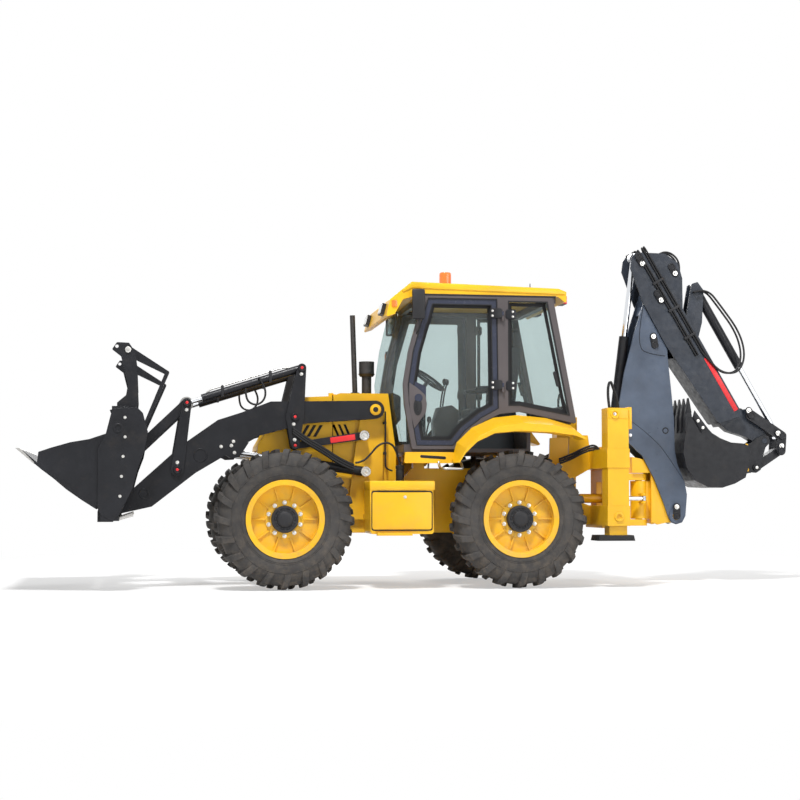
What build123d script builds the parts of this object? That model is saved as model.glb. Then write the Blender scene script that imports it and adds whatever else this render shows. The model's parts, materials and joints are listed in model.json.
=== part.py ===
from build123d import *
import math
import os

# A backhoe loader: a tractor on four equal wheels with a front loader and
# a rear digging arm. Millimetres, +X forward, +Y left, +Z up. Side outlines are
# (x, z) points measured from the front axle line, and every piece is moved by
# frame_shift at the end, which puts the origin under the middle of the machine.

# Overall
frame_shift = 1535.0
half_width = 1175.0
slide_gap = 0.3
run_gap = 6.0

# Wheels
wheelbase = 2420.0
tyre_radius = 712.0
tyre_half_width = 200.0
tyre_centre_y = half_width - tyre_half_width
carcass_radius = 676.0
bead_radius = 356.0
flange_radius = 396.0
rim_wall = 14.0
disc_offset = 45.0
hub_radius = 134.0
nut_circle = 168.0
nut_count = 10
spindle_radius = 60.0
lug_count = 18
kingpin_y = 850.0
kingpin_radius = 28.0

# Loader pins in side view
arm_pivot = (-992.0, 1850.0)
level_pivot = (-872.0, 1577.0)
lift_base = (-888.0, 1201.0)
lift_eye = (477.0, 1396.0)
rear_lever_pivot = (-144.0, 1767.0)
rear_lever_foot = (-146.0, 1469.0)
rear_lever_top = (-215.0, 2279.0)
front_lever_pivot = (1063.0, 1215.0)
front_lever_top = (970.0, 1905.0)
bucket_pivot = (1692.0, 849.0)
bucket_link_pin = (1543.0, 1355.0)
cross_tube = (829.0, 1365.0)
clam_pivot = (1659.0, 1614.0)
fork_shaft = (1568.0, 2397.0)

# Loader widths
arm_inner_y = 455.0
arm_width = 110.0
arm_outer_y = arm_inner_y + arm_width
arm_mid_y = arm_inner_y + arm_width / 2
lever_plate = 20.0
lever_gap = 5.0
eye_width = 50.0
pin_radius = 28.0
shaft_radius = 70.0

# Digging arm pins in side view
swing_x = -4022.0
boom_pivot = (-4403.0, 728.0)
boom_ram_base = (-4250.0, 1100.0)
boom_ram_eye = (-4175.0, 2617.0)
dipper_pivot = (-4200.0, 3187.0)
dipper_ram_base = (-3735.0, 1680.0)
dipper_ram_eye = (-3985.0, 3594.0)
bucket_ram_base = (-4690.0, 3290.0)
hoe_lever_pivot = (-5294.0, 1847.0)
hoe_lever_ram_pin = (-5655.0, 1619.0)
hoe_lever_link_pin = (-5644.0, 1451.0)
hoe_pivot = (-5459.0, 1562.0)
hoe_link_pin = (-5356.0, 1264.0)
dipper_slope = math.radians(239.5)

# Digging arm widths
boom_half_width = 150.0
boom_plate = 22.0
dipper_plate = 22.0
hoe_half_width = 325.0
hoe_wall = 20.0
nose_half_width = 70.0
hoe_ear = 22.0

# Rear frame and stabilisers
rail_rear_x = -3560.0
leg_front_x = -3335.0
leg_inner_y = 930.0
leg_outer_y = 1150.0
leg_wall = 12.0
leg_low_z = 637.0
leg_high_z = 1859.0
upper_rail_z = (1238.0, 1435.0)
lower_rail_z = (637.0, 844.0)
carriage_half_width = 330.0
carriage_plate = 70.0

# Cab and bonnet
cab_half_width = 860.0
cab_frame = 60.0
roof_half_width = 850.0
bonnet_half_width = 408.0
bonnet_wall = 18.0
bonnet_joint_x = -560.0
glass = 6.0


def axis_y(point, radius, low, high):
    """A round bar along Y at a side view point."""
    x, z = point
    return Pos(x, (low + high) / 2, z) * Rot(90, 0, 0) * Cylinder(radius, high - low)


def block(x_low, x_high, y_low, y_high, z_low, z_high):
    """A square block from its six limits."""
    size = (x_high - x_low, y_high - y_low, z_high - z_low)
    middle = ((x_low + x_high) / 2, (y_low + y_high) / 2, (z_low + z_high) / 2)
    return Pos(*middle) * Box(*size)


def outline_face(points, radius=0.0, inset=0.0):
    """A side outline as a flat face, with rounded corners and an optional inset."""
    if radius:
        face = make_face(FilletPolyline(*points, radius=radius, close=True))
    else:
        face = make_face(Polyline(*points, close=True))
    if inset:
        face = offset(face, -inset, kind=Kind.INTERSECTION)
    return face


def slab(points, low, high, radius=0.0, inset=0.0):
    """A side outline made solid between two Y values."""
    face = Pos(0, high, 0) * Rot(90, 0, 0) * outline_face(points, radius, inset)
    return extrude(face, high - low, dir=(0, -1, 0))


def sloped(near_points, far_points, low, high):
    """A solid whose side outline changes in straight lines between two Y values."""
    near = Pos(0, low, 0) * Rot(90, 0, 0) * outline_face(near_points)
    far = Pos(0, high, 0) * Rot(90, 0, 0) * outline_face(far_points)
    return loft([near, far], ruled=True)


def strap(start, end, start_radius, end_radius, low, high):
    """A bar with two round ends, seen from the side."""
    reach = math.dist(start, end)
    along = math.atan2(end[1] - start[1], end[0] - start[0])
    lean = math.acos((start_radius - end_radius) / reach)

    def rim(centre, radius, angle):
        return (centre[0] + radius * math.cos(angle), centre[1] + radius * math.sin(angle))

    start_top = rim(start, start_radius, along + lean)
    start_low = rim(start, start_radius, along - lean)
    end_top = rim(end, end_radius, along + lean)
    end_low = rim(end, end_radius, along - lean)
    edges = [
        Line(start_top, end_top),
        ThreePointArc(end_top, rim(end, end_radius, along), end_low),
        Line(end_low, start_low),
        ThreePointArc(start_low, rim(start, start_radius, along + math.pi), start_top),
    ]
    face = Pos(0, high, 0) * Rot(90, 0, 0) * make_face(edges)
    return extrude(face, high - low, dir=(0, -1, 0))


def along_bar(start, end, radius, y, first, last):
    """A round bar on the line from start to end, between two distances."""
    direction = Vector(end[0] - start[0], 0, end[1] - start[1]).normalized()
    origin = Vector(start[0], y, start[1]) + direction * first
    rod = Cylinder(radius, last - first, align=(Align.CENTER, Align.CENTER, Align.MIN))
    return Plane(origin=origin, z_dir=direction) * rod


def both(solid):
    """The piece and its mirror image on the other side of the machine."""
    return [solid, mirror(solid, about=Plane.XZ)]


def joined(pieces):
    """One solid from several that meet."""
    whole = pieces[0]
    for piece in pieces[1:]:
        whole = whole + piece
    return whole


def save(name, *pieces):
    """Moves the pieces of one part to the machine's own origin and writes them."""
    flat = []
    for piece in pieces:
        flat.extend(piece if isinstance(piece, (list, tuple)) else [piece])
    solids = [Pos(frame_shift, 0, 0) * solid for piece in flat for solid in piece.solids()]
    shape = solids[0] if len(solids) == 1 else Compound(children=solids)
    export_step(shape, f"parts/{name}.step")


def ram_barrel(base, eye, y, outer, rod, length, width, pin):
    """The barrel of a ram: base eye, tube with its bore, and gland."""
    boss = outer * 0.85
    tube = along_bar(base, eye, outer, y, boss * 0.6, length)
    body = tube + axis_y(base, boss, y - width / 2, y + width / 2)
    body = body - along_bar(base, eye, rod + 8.0, y, boss + 15.0, length - 45.0)
    body = body - along_bar(base, eye, rod + slide_gap, y, length - 60.0, length + 5.0)
    return body - axis_y(base, pin + slide_gap, y - width, y + width)


def ram_rod(base, eye, y, rod, tail, width, boss, pin):
    """The rod of a ram, from its hidden tail to its eye."""
    reach = math.dist(base, eye)
    body = along_bar(base, eye, rod, y, tail, reach - boss * 0.5)
    body = body + axis_y(eye, boss, y - width / 2, y + width / 2)
    return body - axis_y(eye, pin + slide_gap, y - width, y + width)


# Rams: barrel radius, rod radius, barrel length, hidden end of the rod from the base pin
lift_ram = dict(outer=50.0, rod=28.0, length=1095.0, tail=480.0)
tilt_ram = dict(outer=42.0, rod=24.0, length=1080.0, tail=200.0)
boom_ram = dict(outer=62.0, rod=34.0, length=1100.0, tail=120.0)
dipper_ram = dict(outer=55.0, rod=32.0, length=1045.0, tail=930.0)
bucket_ram = dict(outer=52.0, rod=30.0, length=1030.0, tail=700.0)
swing_ram = dict(outer=50.0, rod=25.0)


def make_tyre():
    """One tyre about its own centre, axle along Y, outer face towards +Y."""
    half = [(bead_radius + slide_gap, 147.0), (flange_radius + 2.0, 158.5), (430.0, 182.0),
            (500.0, tyre_half_width),
            (600.0, 197.0), (652.0, 180.0), (carcass_radius, 150.0)]
    profile = half + [(carcass_radius + 6.0, 0.0)] + [(radius, -side) for radius, side in reversed(half)]
    section = make_face(Polyline(*profile, close=True))
    carcass = revolve(section, axis=Axis.Y)
    lug_plan = [(-38.0, -18.0), (30.0, -18.0), (98.0, 100.0), (142.0, 186.0), (88.0, 190.0), (34.0, 108.0)]
    lug_face = make_face(Polyline(*lug_plan, close=True))
    lug_top = 699.0
    root = extrude(Plane(origin=(0, 0, lug_top), x_dir=(1, 0, 0), z_dir=(0, 0, 1)) * lug_face, -55.0)
    lean = Pos(0, 152.0, lug_top) * Rot(-38, 0, 0) * Box(600, 120, 300, align=(Align.CENTER, Align.MIN, Align.CENTER))
    lug = root - lean
    lugs = []
    pitch = 360.0 / lug_count
    for index in range(lug_count):
        lugs.append(Rot(0, pitch * index, 0) * lug)
        other = mirror(lug, about=Plane.XZ)
        lugs.append(Rot(0, pitch * (index + 0.5), 0) * other)
    return carcass + lugs


def make_rim():
    """One wheel rim with its ribbed disc and hub, about its own centre."""
    outer = bead_radius
    inner = bead_radius - rim_wall
    section = [(inner, -165.0), (flange_radius, -172.0), (flange_radius, -160.0), (outer, -148.0),
               (outer, 148.0), (flange_radius, 160.0), (flange_radius, 172.0), (inner, 165.0)]
    rim = revolve(make_face(Polyline(*section, close=True)), axis=Axis.Y)
    centre = (0.0, 0.0)
    disc = axis_y(centre, inner + 2.0, disc_offset, disc_offset + 16.0)
    seat_radius = 195.0
    seat = axis_y(centre, seat_radius, disc_offset - 20.0, disc_offset + 26.0)
    hub = axis_y(centre, hub_radius, disc_offset, disc_offset + 80.0)
    cap = axis_y(centre, 72.0, disc_offset + 78.0, disc_offset + 98.0)
    wheel = rim + disc + seat + hub + cap
    step = 360.0 / nut_count
    for index in range(nut_count):
        rib = block(seat_radius - 5.0, inner + 3.0, disc_offset + 14.0, disc_offset + 34.0, -7.0, 7.0)
        wheel = wheel + Rot(0, step * index, 0) * rib
    nuts = [Rot(0, step * (index + 0.5), 0) * axis_y((nut_circle, 0.0), 14.0, disc_offset + 24.0, disc_offset + 48.0)
            for index in range(nut_count)]
    wheel = wheel + nuts
    socket = axis_y(centre, spindle_radius + slide_gap, disc_offset - 40.0, disc_offset + 30.0)
    return wheel - socket


def make_wheels():
    """Four equal wheels, mirrored on the right side."""
    tyre = make_tyre()
    rim = make_rim()
    for axle, x in (("front", 0.0), ("rear", -wheelbase)):
        place = Pos(x, tyre_centre_y, tyre_radius)
        save(f"tyre_{axle}_left", place * tyre)
        save(f"tyre_{axle}_right", mirror(place * tyre, about=Plane.XZ))
        save(f"rim_{axle}_left", place * rim)
        save(f"rim_{axle}_right", mirror(place * rim, about=Plane.XZ))


def make_axles():
    """Both axles and the engine, which fills the bonnet as one block."""
    height = tyre_radius
    fork_y = kingpin_y
    front = block(-75.0, 75.0, -fork_y + 90.0, fork_y - 90.0, height - 70.0, height + 70.0)
    front = front + axis_y((0.0, height), 120.0, -170.0, 170.0)
    front = front + block(-90.0, 90.0, -150.0, 150.0, height + 60.0, axle_seat_z)
    fork_height = 120.0
    for side in (1, -1):
        y = side * fork_y
        for low, high in ((height - fork_height, height - 75.0), (height + 75.0, height + fork_height)):
            front = front + block(-60.0, 60.0, min(y - side * 120.0, y + side * 45.0),
                                  max(y - side * 120.0, y + side * 45.0), low, high)
        front = front + block(-60.0, 60.0, min(y - side * 130.0, y - side * 80.0),
                              max(y - side * 130.0, y - side * 80.0), height - fork_height, height + fork_height)
        front = front + Pos(0, y, height) * Cylinder(kingpin_radius, 2 * fork_height)
    centre = (-wheelbase, height)
    rear = axis_y(centre, 95.0, -tyre_centre_y + 60.0, tyre_centre_y - 60.0)
    rear = rear + axis_y(centre, axle_seat_z - height - 1.0, -190.0, 190.0)
    rear = rear + axis_y(centre, spindle_radius, -tyre_centre_y - disc_offset - 25.0,
                         tyre_centre_y + disc_offset + 25.0)
    rear = rear + axis_y(centre, 130.0, -tyre_centre_y + 60.0, -tyre_centre_y + 90.0)
    rear = rear + axis_y(centre, 130.0, tyre_centre_y - 90.0, tyre_centre_y - 60.0)
    for side in (1, -1):
        rear = rear + block(-wheelbase - 80.0, -wheelbase + 80.0, min(side * 300.0, side * 400.0),
                            max(side * 300.0, side * 400.0), height, axle_seat_z)
    engine = block(-900.0, 20.0, -260.0, 260.0, axle_seat_z + 40.0, 1600.0)
    save("power_train", front, rear, engine)
    knuckle = Pos(0, kingpin_y, height) * Cylinder(58.0, 2 * 68.0)
    knuckle = knuckle + axis_y((0.0, height), spindle_radius, kingpin_y, tyre_centre_y + disc_offset + 25.0)
    knuckle = knuckle + axis_y((0.0, height), 110.0, tyre_centre_y - 40.0, tyre_centre_y - 10.0)
    knuckle = knuckle + block(-190.0, -20.0, kingpin_y - 35.0, kingpin_y + 15.0, height - 25.0, height + 25.0)
    knuckle = knuckle - Pos(0, kingpin_y, height) * Cylinder(kingpin_radius + slide_gap, 300.0)
    save("knuckle_left", knuckle)
    save("knuckle_right", mirror(knuckle, about=Plane.XZ))


axle_seat_z = 840.0
rail_inner_y = 300.0
rail_outer_y = 400.0
tower_inner_y = 425.0
tower_outer_y = arm_inner_y - lever_gap


def make_main_frame():
    """Two long rails with cross members, loader towers, tank and battery box."""
    rail_outline = [(250.0, axle_seat_z), (250.0, rail_top_z), (-1240.0, rail_top_z), (-1400.0, 1240.0),
                    (-3100.0, 1240.0), (-3100.0, axle_seat_z), (-2150.0, axle_seat_z), (-1990.0, 560.0),
                    (-430.0, 560.0), (-250.0, axle_seat_z)]
    left = slab(rail_outline, rail_inner_y, rail_outer_y)
    frame = [left, mirror(left, about=Plane.XZ)]
    for low, high, floor, top in ((-2050.0, -1950.0, 600.0, 1200.0), (-1240.0, -1140.0, 560.0, 700.0),
                                  (-520.0, -430.0, 560.0, 700.0), (-130.0, 130.0, axle_seat_z, 880.0),
                                  (-2560.0, -2280.0, axle_seat_z, 880.0), (-3100.0, -3050.0, 900.0, 1240.0)):
        frame.append(block(low, high, -rail_inner_y - 10.0, rail_inner_y + 10.0, floor, top))
    frame.append(block(200.0, 290.0, -rail_outer_y, rail_outer_y, 640.0, rail_top_z))
    for x in (-1480.0, -2420.0):
        frame.extend(both(block(x - 60.0, x + 60.0, rail_inner_y, rail_outer_y, 1235.0, cab_floor_z)))
    tower_outline = [(-1080.0, 700.0), (-700.0, 700.0), (-760.0, 1160.0), (-800.0, 1480.0),
                     (-870.0, 1900.0), (-930.0, 1960.0), (-1050.0, 1960.0), (-1110.0, 1880.0), (-1090.0, 1300.0)]
    tower = slab(tower_outline, tower_inner_y, tower_outer_y, radius=40.0)
    beside_rail = rail_outer_y + slide_gap
    tower = tower + block(-1050.0, -740.0, beside_rail, tower_inner_y + 5.0, 720.0, 1030.0)
    for point, radius in ((arm_pivot, 36.0), (level_pivot, pin_radius), (lift_base, pin_radius)):
        tower = tower + axis_y(point, radius, tower_outer_y - 5.0, arm_outer_y + 12.0)
        tower = tower + axis_y(point, radius + 22.0, arm_outer_y + 0.4, arm_outer_y + 14.0)
    shelf = block(-1500.0, -880.0, beside_rail, 642.0, 700.0, 760.0)
    box = slab([(-1520.0, 560.0), (-870.0, 560.0), (-860.0, 1092.0), (-1510.0, 1092.0)], 640.0, 1080.0, radius=30.0)
    step = block(-1290.0, -930.0, 1080.0, 1140.0, 545.0, 575.0)
    save("main_frame", joined(frame), both(tower + shelf), both(box + step))


def make_rear_frame():
    """The plates behind the cab, two cross rails and the outer stabiliser legs."""
    plate = slab([(-2950.0, 860.0), (-2950.0, 1240.0), (-3110.0, 1380.0), (-3120.0, 1600.0), (-3325.0, 1600.0),
                  (-3350.0, 1430.0), (-3350.0, 1240.0), (-3190.0, 1150.0), (-3190.0, 900.0), (-3350.0, 840.0),
                  (-3350.0, 645.0), (-3160.0, 645.0)], rail_outer_y + slide_gap, rail_outer_y + 30.0)
    rear = both(plate)
    for low, high in (upper_rail_z, lower_rail_z):
        rear.append(block(rail_rear_x, leg_front_x - 10.0, -leg_inner_y - 5.0, leg_inner_y + 5.0, low, high))
    leg = block(rail_rear_x, leg_front_x, leg_inner_y, leg_outer_y, leg_low_z, leg_high_z)
    for low, high in (upper_rail_z, lower_rail_z):
        leg = leg + block(rail_rear_x - 8.0, leg_front_x + 8.0, leg_inner_y - 30.0, leg_outer_y + 8.0, low, high)
    bore = block(rail_rear_x + leg_wall, leg_front_x - leg_wall, leg_inner_y + leg_wall, leg_outer_y - leg_wall,
                 leg_low_z - 10.0, leg_high_z - leg_wall)
    leg = leg - bore
    rear.extend(both(leg))
    whole = joined(rear)
    save("rear_frame", whole)
    wall = leg_wall + run_gap
    inner = block(rail_rear_x + wall, leg_front_x - wall, leg_inner_y + wall, leg_outer_y - wall, 530.0, 1700.0)
    guide = leg_wall + slide_gap
    inner = inner + block(rail_rear_x + guide, leg_front_x - guide, leg_inner_y + guide, leg_outer_y - guide,
                          1640.0, 1690.0)
    foot = slab([(-3611.0, 485.0), (-3227.0, 485.0), (-3240.0, 539.0), (-3598.0, 539.0)], 880.0, half_width - 3.0)
    stabiliser = inner + foot
    save("stabiliser_left", stabiliser)
    save("stabiliser_right", mirror(stabiliser, about=Plane.XZ))


rail_top_z = 1040.0
cowl_top_z = 2030.0
bonnet_hinge = (bonnet_joint_x, 2020.0)


def make_bonnet():
    """Fixed cowl with its louvres and the lid that lifts at the front."""
    face_x = bonnet_joint_x - 5.0
    cowl_outline = [(face_x, rail_top_z), (face_x, 2004.0), (-640.0, cowl_top_z), (-1150.0, cowl_top_z),
                    (-1235.0, 1400.0), (-1235.0, rail_top_z)]
    inner = [(face_x + 10.0, rail_top_z - 10.0), (face_x + 10.0, 1982.0), (-640.0, cowl_top_z - bonnet_wall),
             (-1134.0, cowl_top_z - bonnet_wall), (-1217.0, 1400.0), (-1217.0, rail_top_z - 10.0)]
    cowl = slab(cowl_outline, -bonnet_half_width, bonnet_half_width)
    cowl = cowl - slab(inner, -bonnet_half_width + bonnet_wall, bonnet_half_width - bonnet_wall)
    for side in (1, -1):
        knuckle = block(bonnet_joint_x - 40.0, bonnet_joint_x, *sorted((side * 300.0, side * 338.0)), 1990.0, 2022.0)
        knuckle = knuckle + axis_y(bonnet_hinge, 12.0, *sorted((side * 300.0, side * 338.0)))
        knuckle = knuckle + axis_y(bonnet_hinge, 6.0, *sorted((side * 337.0, side * 378.0)))
        cowl = cowl + knuckle
    for index in range(3):
        x = -500.0 + index * 60.0 - 260.0
        slot = [(x, 1560.0), (x + 28.0, 1560.0), (x + 88.0, 1700.0), (x + 60.0, 1700.0)]
        cowl = cowl - slab(slot, -bonnet_half_width - 10.0, bonnet_half_width + 10.0)
    save("cowl", cowl)
    lid_outline = [(bonnet_joint_x + 5.0, 1150.0), (bonnet_joint_x + 5.0, 1998.0), (-267.0, 1985.0),
                   (150.0, 1610.0), (225.0, 1478.0), (262.0, 1150.0)]
    lid = slab(lid_outline, -bonnet_half_width, bonnet_half_width)
    cavity = [(bonnet_joint_x - 5.0, 1140.0), (bonnet_joint_x - 5.0, 1978.0), (-275.0, 1965.0), (136.0, 1596.0),
              (207.0, 1470.0), (243.0, 1140.0)]
    lid = lid - slab(cavity, -bonnet_half_width + bonnet_wall, bonnet_half_width - bonnet_wall)
    for index in range(6):
        z = 1190.0 + index * 42.0
        lid = lid - block(190.0, 300.0, -300.0, 300.0, z, z + 22.0)
    for side in (1, -1):
        low_y, high_y = sorted((side * (338.0 + slide_gap), side * 376.0))
        ear = axis_y(bonnet_hinge, 12.0, low_y, high_y)
        ear = ear + block(bonnet_joint_x + 6.0, bonnet_joint_x + 40.0, low_y, high_y, 1988.0, 2022.0)
        ear = ear + block(bonnet_joint_x, bonnet_joint_x + 40.0, low_y, high_y, 2012.0, 2032.0)
        lid = lid + ear - axis_y(bonnet_hinge, 6.0 + slide_gap, low_y - 2.0, high_y + 2.0)
    save("bonnet_lid", lid)


exhaust_foot = (-829.0, 150.0)
exhaust_lean = 2.0


def make_exhaust():
    """The upright exhaust pipe and the air cleaner's mushroom beside it."""
    x, y = exhaust_foot
    foot_z = cowl_top_z + slide_gap
    upright = (Align.CENTER, Align.CENTER, Align.MIN)
    pipe = Pos(x, y, foot_z + 10.0) * Rot(0, exhaust_lean, 0) * Cylinder(28.0, 845.0, align=upright)
    flange = Pos(x, y, foot_z) * Cylinder(48.0, 22.0, align=upright)
    cleaner_x = x - 125.0
    stack = Pos(cleaner_x, y, foot_z) * Cylinder(52.0, 215.0, align=upright)
    brim = Pos(cleaner_x, y, 2240.0) * Cone(70.0, 90.0, 30.0)
    bowl = Pos(cleaner_x, y, 2320.0) * Cylinder(82.0, 132.0)
    save("exhaust", pipe + flange, stack + brim + bowl)


# Cab side outlines
roof_seat_z = 3045.0
cab_floor_z = 1400.0
door_outline = [(-1505.0, 3000.0), (-2231.0, 3000.0), (-2244.0, 1860.0), (-2070.0, 1765.0), (-1890.0, 1625.0),
                (-1765.0, 1470.0), (-1382.0, 1470.0), (-1305.0, 1900.0), (-1292.0, 2100.0), (-1345.0, 2450.0)]
side_outline = [(-1462.0, roof_seat_z), (-1296.0, 2450.0), (-1240.0, 2105.0), (-1252.0, 1895.0), (-1330.0, 1430.0),
                (-1800.0, 1430.0), (-1920.0, 1590.0), (-2090.0, 1720.0), (-2260.0, 1800.0), (-2480.0, 1825.0),
                (-3085.0, 1703.0), (-2835.0, roof_seat_z)]
quarter_outline = [(-2355.0, 2985.0), (-2775.0, 2985.0), (-3010.0, 1790.0), (-2480.0, 1890.0), (-2355.0, 1890.0)]
visor_line = [(-1060.0, 2801.0), (-1105.0, 2985.0)]
roof_top = [(-1331.0, 3171.0), (-2900.0, 3128.0)]
screen_line = [(-1330.0, 2960.0), (-1278.0, 2876.0), (-1205.0, 2560.0), (-1150.0, 2180.0), (-1180.0, 1850.0),
               (-1262.0, 1480.0)]


def make_cab():
    """Side frames, floor, cross members and the seat platform."""
    side = slab(side_outline, cab_half_width - cab_frame, cab_half_width, radius=18.0)
    side = side - slab(door_outline, 700.0, 900.0, inset=-run_gap)
    side = side - slab(quarter_outline, 700.0, 900.0, radius=25.0)
    inside = cab_half_width - cab_frame - slide_gap
    floor = block(-2560.0 + slide_gap, -1290.0, -inside, inside, cab_floor_z, 1440.0)
    floor = floor + block(-1350.0, -1256.0, -inside, inside, cab_floor_z, 1479.7)
    front_header = block(-1500.0, -1445.0, -inside, inside, 2985.0, roof_seat_z - slide_gap)
    rear_header = block(-2880.0, -2800.0, -inside, inside, 2975.0, roof_seat_z - slide_gap)
    rear_sill = slab([(-3080.0, 1720.0), (-3030.0, 1720.0), (-2985.0, 1900.0), (-3043.0, 1900.0)], -inside, inside)
    for low_y, high_y in ((780.0, 801.0), (-801.0, -780.0)):
        rear_sill = rear_sill - slab(quarter_outline, low_y, high_y, inset=-16.0)
    step = slab([(-2600.0, 1400.0), (-2560.0, 1400.0), (-2560.0, 1740.0), (-3040.0, 1740.0), (-3040.0, 1700.0),
                 (-2600.0, 1700.0)], -inside, inside)
    hinge_x = door_hinge_x
    for z in (2080.0, 2830.0):
        leaf = block(hinge_x - 30.0, hinge_x, cab_half_width - 2.0, cab_half_width + 8.0, z - 45.0, z + 45.0)
        leaf = leaf + Pos(hinge_x, door_hinge_y, z - 30.0) * Cylinder(13.0, 50.0)
        leaf = leaf + block(hinge_x - 12.0, hinge_x + 8.0, cab_half_width - 2.0, door_hinge_y, z - 55.0, z - 5.0)
        leaf = leaf + Pos(hinge_x, door_hinge_y, z + 20.0) * Cylinder(6.0, 60.0)
        side = side + leaf
    save("cab_frame", both(side), floor, front_header, rear_header, rear_sill + step)
    roof_outline = visor_line + roof_top + [(-2985.0, 3095.0), (-2985.0, 2975.0), (-2890.0, roof_seat_z),
                                            (-1440.0, roof_seat_z), (-1240.0, 2985.0), (-1150.0, 2830.0)]
    roof = slab(roof_outline, -roof_half_width, roof_half_width, radius=12.0)
    save("cab_roof", roof)
    inner_y = cab_half_width - cab_frame
    back = [(x - glass, z) for x, z in reversed(screen_line)]
    centre_pane = slab(screen_line + back, -640.0, 640.0)
    pillar_line = [(-1462.0, 2960.0), (-1440.0, 2876.0), (-1345.0, 2560.0), (-1276.0, 2180.0), (-1285.0, 1850.0),
                   (-1345.0, 1480.0)]
    pillar_back = [(x - glass, z) for x, z in reversed(pillar_line)]
    near = Pos(0, 640.0 + slide_gap, 0) * Rot(90, 0, 0) * outline_face(screen_line + back)
    far = Pos(0, inner_y - slide_gap, 0) * Rot(90, 0, 0) * outline_face(pillar_line + pillar_back)
    corner = loft([near, far], ruled=True)
    quarter = slab(quarter_outline, inner_y - glass - slide_gap, inner_y - slide_gap, inset=-12.0)
    rear_pane = slab([(-3010.0, 1900.0), (-3016.0, 1900.0), (-2846.0, 2974.7), (-2840.0, 2974.7)],
                     -inner_y + 10.0, inner_y - 10.0)
    save("cab_glass", centre_pane, both(corner), both(quarter), rear_pane)


door_hinge_x = -2290.0
door_hinge_y = cab_half_width + 22.0


def make_doors():
    """Two glazed doors hinged at the pillar behind them."""
    leaf = slab(door_outline, 808.0, 852.0)
    leaf = leaf - slab(door_outline, 790.0, 870.0, inset=58.0)
    handle = slab([(-1300.0, 2160.0), (-1480.0, 2080.0), (-1480.0, 1800.0), (-1330.0, 1740.0)], 815.0, 852.0,
                  radius=30.0)
    leaf = leaf + handle
    leaf = leaf + axis_y((-1400.0, 1960.0), 42.0, 850.0, 868.0)
    for z in (2080.0, 2830.0):
        arm = block(door_hinge_x, -2225.0, door_hinge_y - 8.0, door_hinge_y + 4.0, z + 2.0, z + 42.0)
        arm = arm + block(-2229.0, -2190.0, 848.0, door_hinge_y + 4.0, z + 2.0, z + 42.0)
        arm = arm + Pos(door_hinge_x, door_hinge_y, z + 22.0) * Cylinder(13.0, 40.0)
        arm = arm - Pos(door_hinge_x, door_hinge_y, z + 22.0) * Cylinder(6.0 + slide_gap, 60.0)
        leaf = leaf + arm
    pane = slab(door_outline, 802.0, 808.0, inset=30.0)
    for name, pieces in (("door", leaf), ("door_glass", pane)):
        save(f"{name}_left", pieces)
        save(f"{name}_right", mirror(pieces, about=Plane.XZ))


def make_interior():
    """Seat on its platform, and the column with dash and steering wheel."""
    seat = block(-2560.0, -2100.0, -200.0, 200.0, 1440.0, 1800.0)
    seat = seat + slab([(-2600.0, 1800.0), (-2080.0, 1800.0), (-2060.0, 1900.0), (-2540.0, 1900.0)], -250.0, 250.0,
                       radius=30.0)
    seat = seat + slab([(-2560.0, 1880.0), (-2440.0, 1880.0), (-2520.0, 2560.0), (-2640.0, 2560.0)], -240.0, 240.0,
                       radius=40.0)
    column = slab([(-1600.0, 1440.0), (-1440.0, 1440.0), (-1420.0, 2050.0), (-1480.0, 2180.0), (-1600.0, 2100.0)],
                  -140.0, 140.0, radius=25.0)
    wheel_place = Pos(-1660.0, 0, 2210.0) * Rot(0, -35, 0)
    ring = wheel_place * Torus(190.0, 16.0)
    spoke = wheel_place * Box(380.0, 40.0, 16.0)
    post = wheel_place * Cylinder(22.0, 200.0, align=(Align.CENTER, Align.CENTER, Align.MAX))
    save("cab_interior", seat, column + ring + spoke + post)


def make_fenders():
    """Rear mudguards and the skirt panels below the doors."""
    upper = [(-1737.0, 1285.0), (-1800.0, 1500.0), (-1960.0, 1655.0), (-2190.0, 1760.0), (-2450.0, 1790.0),
             (-2760.0, 1760.0), (-3010.0, 1690.0), (-3120.0, 1545.0)]
    lower = [(-3095.0, 1530.0), (-2990.0, 1570.0), (-2760.0, 1600.0), (-2420.0, 1614.0), (-2150.0, 1590.0),
             (-1960.0, 1500.0), (-1840.0, 1385.0), (-1775.0, 1285.0)]
    outer = [(-1760.0, 1285.0), (-1850.0, 1430.0), (-1995.0, 1565.0), (-2200.0, 1660.0), (-2450.0, 1695.0),
             (-2755.0, 1675.0), (-2990.0, 1630.0), (-3110.0, 1540.0)]
    guard = sloped(upper + lower, outer + lower, cab_half_width + slide_gap, half_width - 25.0)
    ends = ((-1700.0, 1200.0), (-3200.0, 1200.0))
    under = [[ends[0]] + [(x, z - wall) for x, z in line[1:-1]] + [ends[1]]
             for line, wall in ((upper, 65.0), (outer, 45.0))]
    guard = guard - sloped(under[0], under[1], cab_half_width + 25.0, half_width - 60.0)
    skirt = slab([(-1250.0, 1285.0), (-1735.0, 1285.0), (-1775.0, 1399.0), (-1260.0, 1399.0)],
                 cab_half_width - 45.0, cab_half_width + 5.0, radius=12.0)
    save("fenders", both(guard), both(skirt))


beacon_x = -1750.0


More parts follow.
